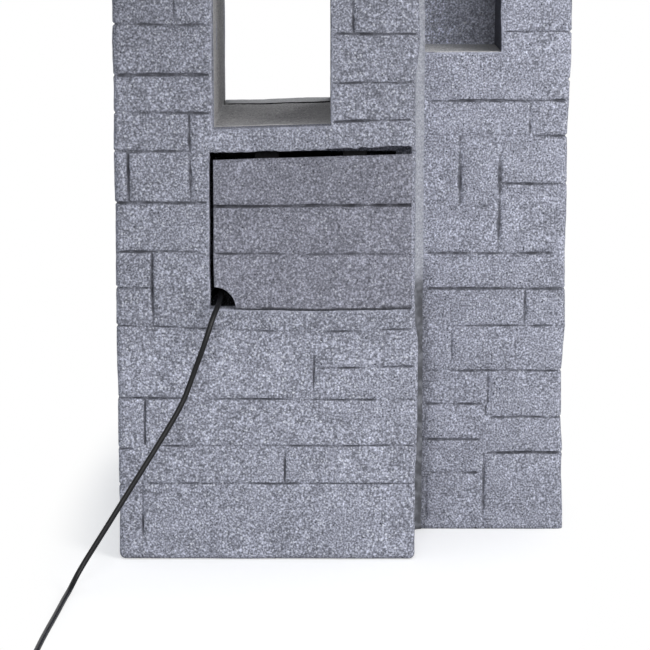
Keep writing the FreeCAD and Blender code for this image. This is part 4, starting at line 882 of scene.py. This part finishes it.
def broken_sill(point):
    """The sill's far end was broken off raggedly, and it dips there towards the right."""
    if point.y < 0.008 or point.z < 0.485 or point.z > 0.495 or not -0.1475 < point.x < -0.0175:
        return Vector((0, 0, 0))
    share = (point.x + 0.147) / 0.129
    near = min(1, (point.y - 0.008) / 0.010)
    ragged = 0.0016 * noise.noise(Vector((point.x * 240, 3.1, 0)))
    ragged += 0.0008 * noise.noise(Vector((point.x * 610, 0, 0)))
    drop = 0.0004 + 0.0034 * min(1, share * 1.25) + ragged
    return Vector((0, -0.6 * max(0, ragged) * near, -max(0, drop) * near**2))


# Black painted shadow for faces in deep shade: down in the slot, on the lip's back and on the hatch's pads.
shadow_black_stone = stone_finish(
    "shadow_black_stone", (0.008, 0.008, 0.009), (0.018, 0.018, 0.018), (0.005, 0.005, 0.005), 1.5, 0.3, 0.3, bump=0.3
)
wear(
    "window_lining",
    "window_liner",
    [painted_stone, raw_cement, shadow_black_stone],
    0.009,
    pick=liner_finish,
    crooked=True,
    still=lambda point: not in_passage(point),
    rough=0.0003,
    closer=((-0.1475, 0.005, 0.470), (-0.0175, 0.0215, 0.4905), (0.0105, 0.0135, 0.0160, 0.0180), 0.0022),
    shape=broken_sill,
    worn=lambda point: 0.42 * math.exp((-0.2335 - point.y) / 0.035) if in_passage(point) else 0.0,
)


# Narrow column. The same casting, open underneath, with a blind niche in its rear and the spout's slot in its
# front. It stands against the wide one and is bolted to it from the inside.
narrow_joints = {
    "rear": (
        78, 248, 0.007,
        [
            (68, 97, 156, 1.2, 2.6), (92, 164, 248, 1.2, 2.6), (108, 91, 159, 1.1, 2.6),
            (135, 166, 248, 1.2, 2.6), (150.5, 91, 160, 1.2, 2.6), (190.5, 98, 248, 1.2, 2.6),
            (244, 95, 248, 1.1, 2.6), (287.5, 95, 248, 1.25, 2.8), (329.5, 92, 247, 1.3, 2.8),
            (384.5, 111, 167, 0.9, 2.6), (410.5, 179, 248, 1.2, 2.6), (465.5, 215, 248, 1.1, 2.6),
            (467, 94, 119, 0.9), (467, 119, 212, 0.6), (506, 94, 248, 1.3, 2.8), (752, 91, 248),
            (787, 91, 197), (801, 203, 248), *courses(179, 248, 585, 628, 671, 716),
        ],
        [
            (94.5, 14, 66), (162, 4, 92, 1.2, 2.6), (163, 135, 150.5), (165, 151, 190.5, 0.9, 2.6),
            (123, 190.5, 244, 0.8, 2.6), (208, 244, 287.5, 1.2, 2.6), (176.5, 329.5, 467, 1.15, 4.0),
            (130.5, 384.5, 467, 1.1, 4.0), (211, 467, 506, 1.1, 2.6), (222, 628, 671), (205, 671, 716),
            (140, 752, 787), (200, 752, 824), (118, 787, 824),
        ],
    ),
    "right": (
        -113, 138, 0.009,
        [
            *courses(-113, 138, 92, 190.5, 287.5, 410.5, 530, 585, 671, 716, 801),
            (135, -113, 20), (150, 25, 138), (465.5, -113, 50), (628, -113, -20), (752, -113, -30),
        ],
        [
            (0, 0, 92), (22.5, 92, 190.5), (-40, 190.5, 287.5), (60, 190.5, 287.5), (10, 287.5, 410.5),
            (52.5, 410.5, 530), (-30, 465.5, 530), (-40, 530, 585), (-17.5, 585, 671), (60, 585, 671),
            (40, 671, 716), (-65, 671, 716), (-27.5, 716, 801), (70, 716, 801),
        ],
    ),
    "front": (
        60, 248, 0.010,
        [
            *courses(80, 248, 260, 316, 440, 500, 560, 668, 716, 768), (372, 80, 150), (390, 155, 248),
        ],
        [
            (140, 205, 260), (190, 260, 316), (152.5, 316, 440), (120, 440, 500), (200, 500, 560),
            (165, 668, 716), (110, 716, 768), (210, 716, 768), (170, 768, 824),
        ],
    ),
    "left": (
        60, 200, 0.010,
        courses(78, 142, 260, 330, 390, 440, 500, 560, 620, 668, 716, 768),
        [(112, 260, 330), (106, 560, 620)],
    ),
}


niche_bed = stone_finish(
    "niche_bed", (0.86, 0.855, 0.85), (0.93, 0.93, 0.91), (0.34, 0.34, 0.34), 1.8, 0.4, 0.5, bump=0.35
)
# Painted light: the niche's back wall in the column's paint made lighter, as if light fell in.
niche_painted_light = stone_finish("niche_painted_light", (0.460, 0.475, 0.560), (0.90, 0.92, 0.95), (0.055, 0.057, 0.070))


def in_niche(point):
    return 0.0885 < point.x < 0.1765 and -0.119 < point.y < 0.0 and 0.5615 < point.z < 0.7375


def niche_bed_and_lit_back(middle, normal):
    """The niche's floor is bare, and its back is painted light: a lighter copy of the column's paint."""
    if not in_niche(middle):
        return 0
    return 1 if middle.z < 0.5635 else 2 if middle.y > -0.002 else 0


def narrow_column_still(point):
    """Points that stay as cast: the hollow behind the niche, and where neighbours bear."""
    if point.x < 0.0772 and point.y < 0.0636:
        return True
    if point.y > 0.1453 and point.z < 0.2:
        return True
    return not in_niche(point) and 0.0771 < point.x < 0.2381 and -0.1026 < point.y < 0.1276


def narrow_column_lean(point):
    """How far the outer rear arris stands out of line, as the photograph shows it."""
    heights = (5, 71, 101, 134, 191, 244, 333, 406, 466, 550, 621, 700, 824)
    stands = (0.5, -2.5, -2.0, -4.0, -4.5, -1.0, -2.5, -2.0, -2.0, 1.0, 1.0, 0.0, 0.0)
    near = min(1, max(0, (point.x - 0.216) / 0.036))
    return 0.001 * float(np.interp(point.z * 1000, heights, stands)) * near


def narrow_column_painted_shade(point):
    """Painted shade: the lower rear darkened along the cove, and the niche's right reveal painted black."""
    if point.x > 0.1745 and in_niche(point):
        return 0.80
    if point.y > -0.11 or point.z > 0.32:
        return 0.0
    return 0.45 * min(1, (0.32 - point.z) / 0.03) * min(1, max(0, (0.102 - point.x) / 0.014))


carve(
    "narrow_column",
    "pier_column",
    (0.077, -0.1205, -1),
    (0.256, 0.1455, 1.2),
    0.007,
    round_corners(narrow_joints),
    {
        "rear": lambda middle: middle.y < -0.1135,
        "right": lambda middle: middle.x > 0.249,
        "front": lambda middle: middle.y > 0.1385,
        "left": lambda middle: middle.x < 0.0775 and middle.y > 0.0635,
    },
    [painted_stone, niche_bed, niche_painted_light],
    seams=[("left", (0, 1, 0), 0.0635)],
    inside=narrow_column_still,
    openings=[(0.089, 0.176, 0.562, 0.737, 0)],
    chipping=wide_column_chipping,
    lean=narrow_column_lean,
    pick=niche_bed_and_lit_back,
    darker=narrow_column_painted_shade,
)


# Column lids. Plain cast slabs with eased edges, which lie on the columns' tops. Each has a rim below that
# drops inside its column's walls and keeps it in place.
for lid, node, low, high, foot in (
    ("wide_lid", "wall_cap", (-0.256, -0.2555, -1), (0.077, 0.0635, 0.990), 0.954),
    ("narrow_lid", "pier_cap", (0.077, -0.1205, -1), (0.256, 0.1455, 0.860), 0.824),
):
    carve(
        lid,
        node,
        low,
        high,
        0.007,
        {side: ([], [], 0.014) for side in ("rear", "right", "front", "left")},
        {side: lambda middle: middle.z > foot - 0.0001 for side in WAYS},
        [painted_stone],
        inside=lambda point: point.z < foot + 0.0001,
    )


# Front basin. An L-shaped trough of the same cast stone, which stands on the ground in front of the wide
# column and round the narrow one, and is clamped to the wide one's wall by the return fitting.
basin_sides = (("front", 31, -256, 256, 0.009), ("left", 32, 63, 255, 0.010), ("right", 33, 145, 255, 0.010))
carve(
    "water_basin",
    "front_basin",
    (-0.256, -1, 0),
    (0.256, 0.2555, 1.2),
    0.007,
    {side: (*random_courses(seed, start, end, 0, 200), gap) for side, seed, start, end, gap in basin_sides},
    {
        "front": lambda middle: middle.y > 0.2485,
        "left": lambda middle: middle.x < -0.249,
        "right": lambda middle: middle.x > 0.249,
    },
    [painted_stone],
    inside=lambda point: point.y < 0.0637 or point.z < 0.0005,
)


# Hatch cover. A loose panel cast in a smoother mix than the column, short of its opening at the top and left,
# with two pressed courses and a quarter-round notch for the cord. It stands against four cement pads.
hatch_stone = stone_finish(
    "hatch_stone", (0.192, 0.195, 0.234), (0.50, 0.51, 0.57), (0.03, 0.03, 0.04), 2.9, 0.8, 1.0, bump=0.4
)


def hatch_painted_shade(point):
    """Painted shade: the hatch is darker towards its top, and black along its foot."""
    if point.z < 0.2902:
        return 0.85
    return float(np.interp(point.z, (0.292, 0.36, 0.44), (0.03, 0.11, 0.19)))


hatch_panel = carve(
    "hatch_panel",
    "hatch_cover",
    (-1, -0.2555, -1),
    (1, 1, 1),
    0.002,
    {"rear": ([(403, -160, 90, 1.5, 2.6), (349.5, -146, 64, 0.9, 3.0)], [], 0.006)},
    {"rear": lambda middle: middle.y < -0.2535},
    [hatch_stone],
    crooked=True,
    inside=lambda point: point.y > -0.2340,
    darker=hatch_painted_shade,
    body="hatch",
)
for point in hatch_panel.data.vertices:
    if point.co.y > -0.2345 and point.co.z > 0.407:
        point.co.z -= 0.0045
# The pads are black painted shadow, so that none shows in the gap above the panel.
clad(shadow_black_stone, "hatch_stops")


# Spill lips. Two pale cast sills with rounded noses, that the water leaves over: one is bedded in the window
# beyond the slot, and one under the spout.
pale_stone = stone_finish(
    "pale_stone", (0.45, 0.45, 0.46), (0.72, 0.72, 0.72), (0.2, 0.2, 0.2), 1.0, 0.2, 0.3, bump=0.3
)
# The window lip's faces that look back into the slot are black painted shadow.
wear(
    "window_sill_lip",
    "window_lip",
    [pale_stone, shadow_black_stone],
    0.006,
    pick=lambda middle, normal: 1 if normal.y < -0.7 else 0,
    crooked=True,
)
wear("spout_sill_lip", "spout_lip", [pale_stone], 0.010)


# Mortar coves. The two inside corners between the columns are filled with a bead of mortar, run down by hand
# when the columns stand.
def cove_crack_and_shade(point):
    """The cove is darkened with painted shade below the hatch's foot, and cracked away from the wide column
    here and there.
    """
    crack = point.x < 0.0782 and noise.noise(Vector((0, 3.3, point.z * 34))) > -0.05
    return max(0.9 if crack else 0.0, 0.85 * min(1, max(0, (0.318 - point.z) / 0.03)))


mortar = stone_finish(
    "mortar", (0.33, 0.34, 0.38), (0.55, 0.56, 0.60), (0.12, 0.12, 0.13), 1.2, 0.2, 0.3, bump=0.25
)
wear("rear_cove", "rear_bead", [mortar], 0.006, rough=0.0005, shade_and_cracks=cove_crack_and_shade)
wear("front_cove", "front_bead", [mortar], 0.014, rough=0.0005)


# Water works. Black spill boxes, tee and return fitting in moulded plastic and a blue valve knob, with black
# rubber grommet, gaskets and bung, and stainless bands and screws.
clad(
    plain_finish("box_plastic", (0.035, 0.036, 0.040), 0.48, grain=900, grain_depth=0.3),
    "wall_spill_box", "pier_spill_box", "return_fitting", "return_nut",
)
clad(
    plain_finish("fitting_plastic", (0.030, 0.031, 0.035), 0.38, grain=1400, grain_depth=0.2),
    "flow_tee", "outlet_nozzle",
)
clad(
    plain_finish("knob_plastic", (0.05, 0.14, 0.30), 0.40, grain=1400, grain_depth=0.2),
    "valve_knob", "flow_dial",
)
clad(
    plain_finish("soft_rubber", (0.022, 0.022, 0.023), 0.72, grain=800, grain_depth=0.4, gloss=0.3),
    "hose_grommet", "return_gaskets", "drain_plug", "suction_feet", "rear_bush", "front_bush", "chamber_seal",
)
clad(
    plain_finish("steel", (0.60, 0.60, 0.61), 0.30, grain=350, grain_depth=0.15, mottle=0.06, metallic=1.0),
    "hose_clamps", "joining_bolts", "joining_washers", "joining_nuts", "stator_core",
)


# Pump. A small submersible pump on four suction cups: a black housing filled with resin, its windings on a
# steel core, a ferrite rotor on a ceramic shaft, and a snap-off strainer with the flow dial.
clad(
    plain_finish("pump_plastic", (0.020, 0.021, 0.024), 0.52, grain=1100, grain_depth=0.35),
    "pump_housing", "impeller_chamber", "intake_cover", "impeller",
)
clad(plain_finish("resin", (0.025, 0.025, 0.028), 0.15, grain=120, grain_depth=0.2), "motor_potting")
clad(
    plain_finish("copper", (0.70, 0.32, 0.16), 0.25, grain=2400, grain_depth=0.5, metallic=1.0),
    "stator_windings",
)
clad(plain_finish("ferrite", (0.045, 0.045, 0.050), 0.6, grain=1500, grain_depth=0.3), "rotor_magnet")
clad(
    plain_finish("ceramic", (0.82, 0.81, 0.77), 0.12, grain=900, grain_depth=0.05, mottle=0.03),
    "rotor_shaft",
)
clad(cord_jacket, "cord_gland")
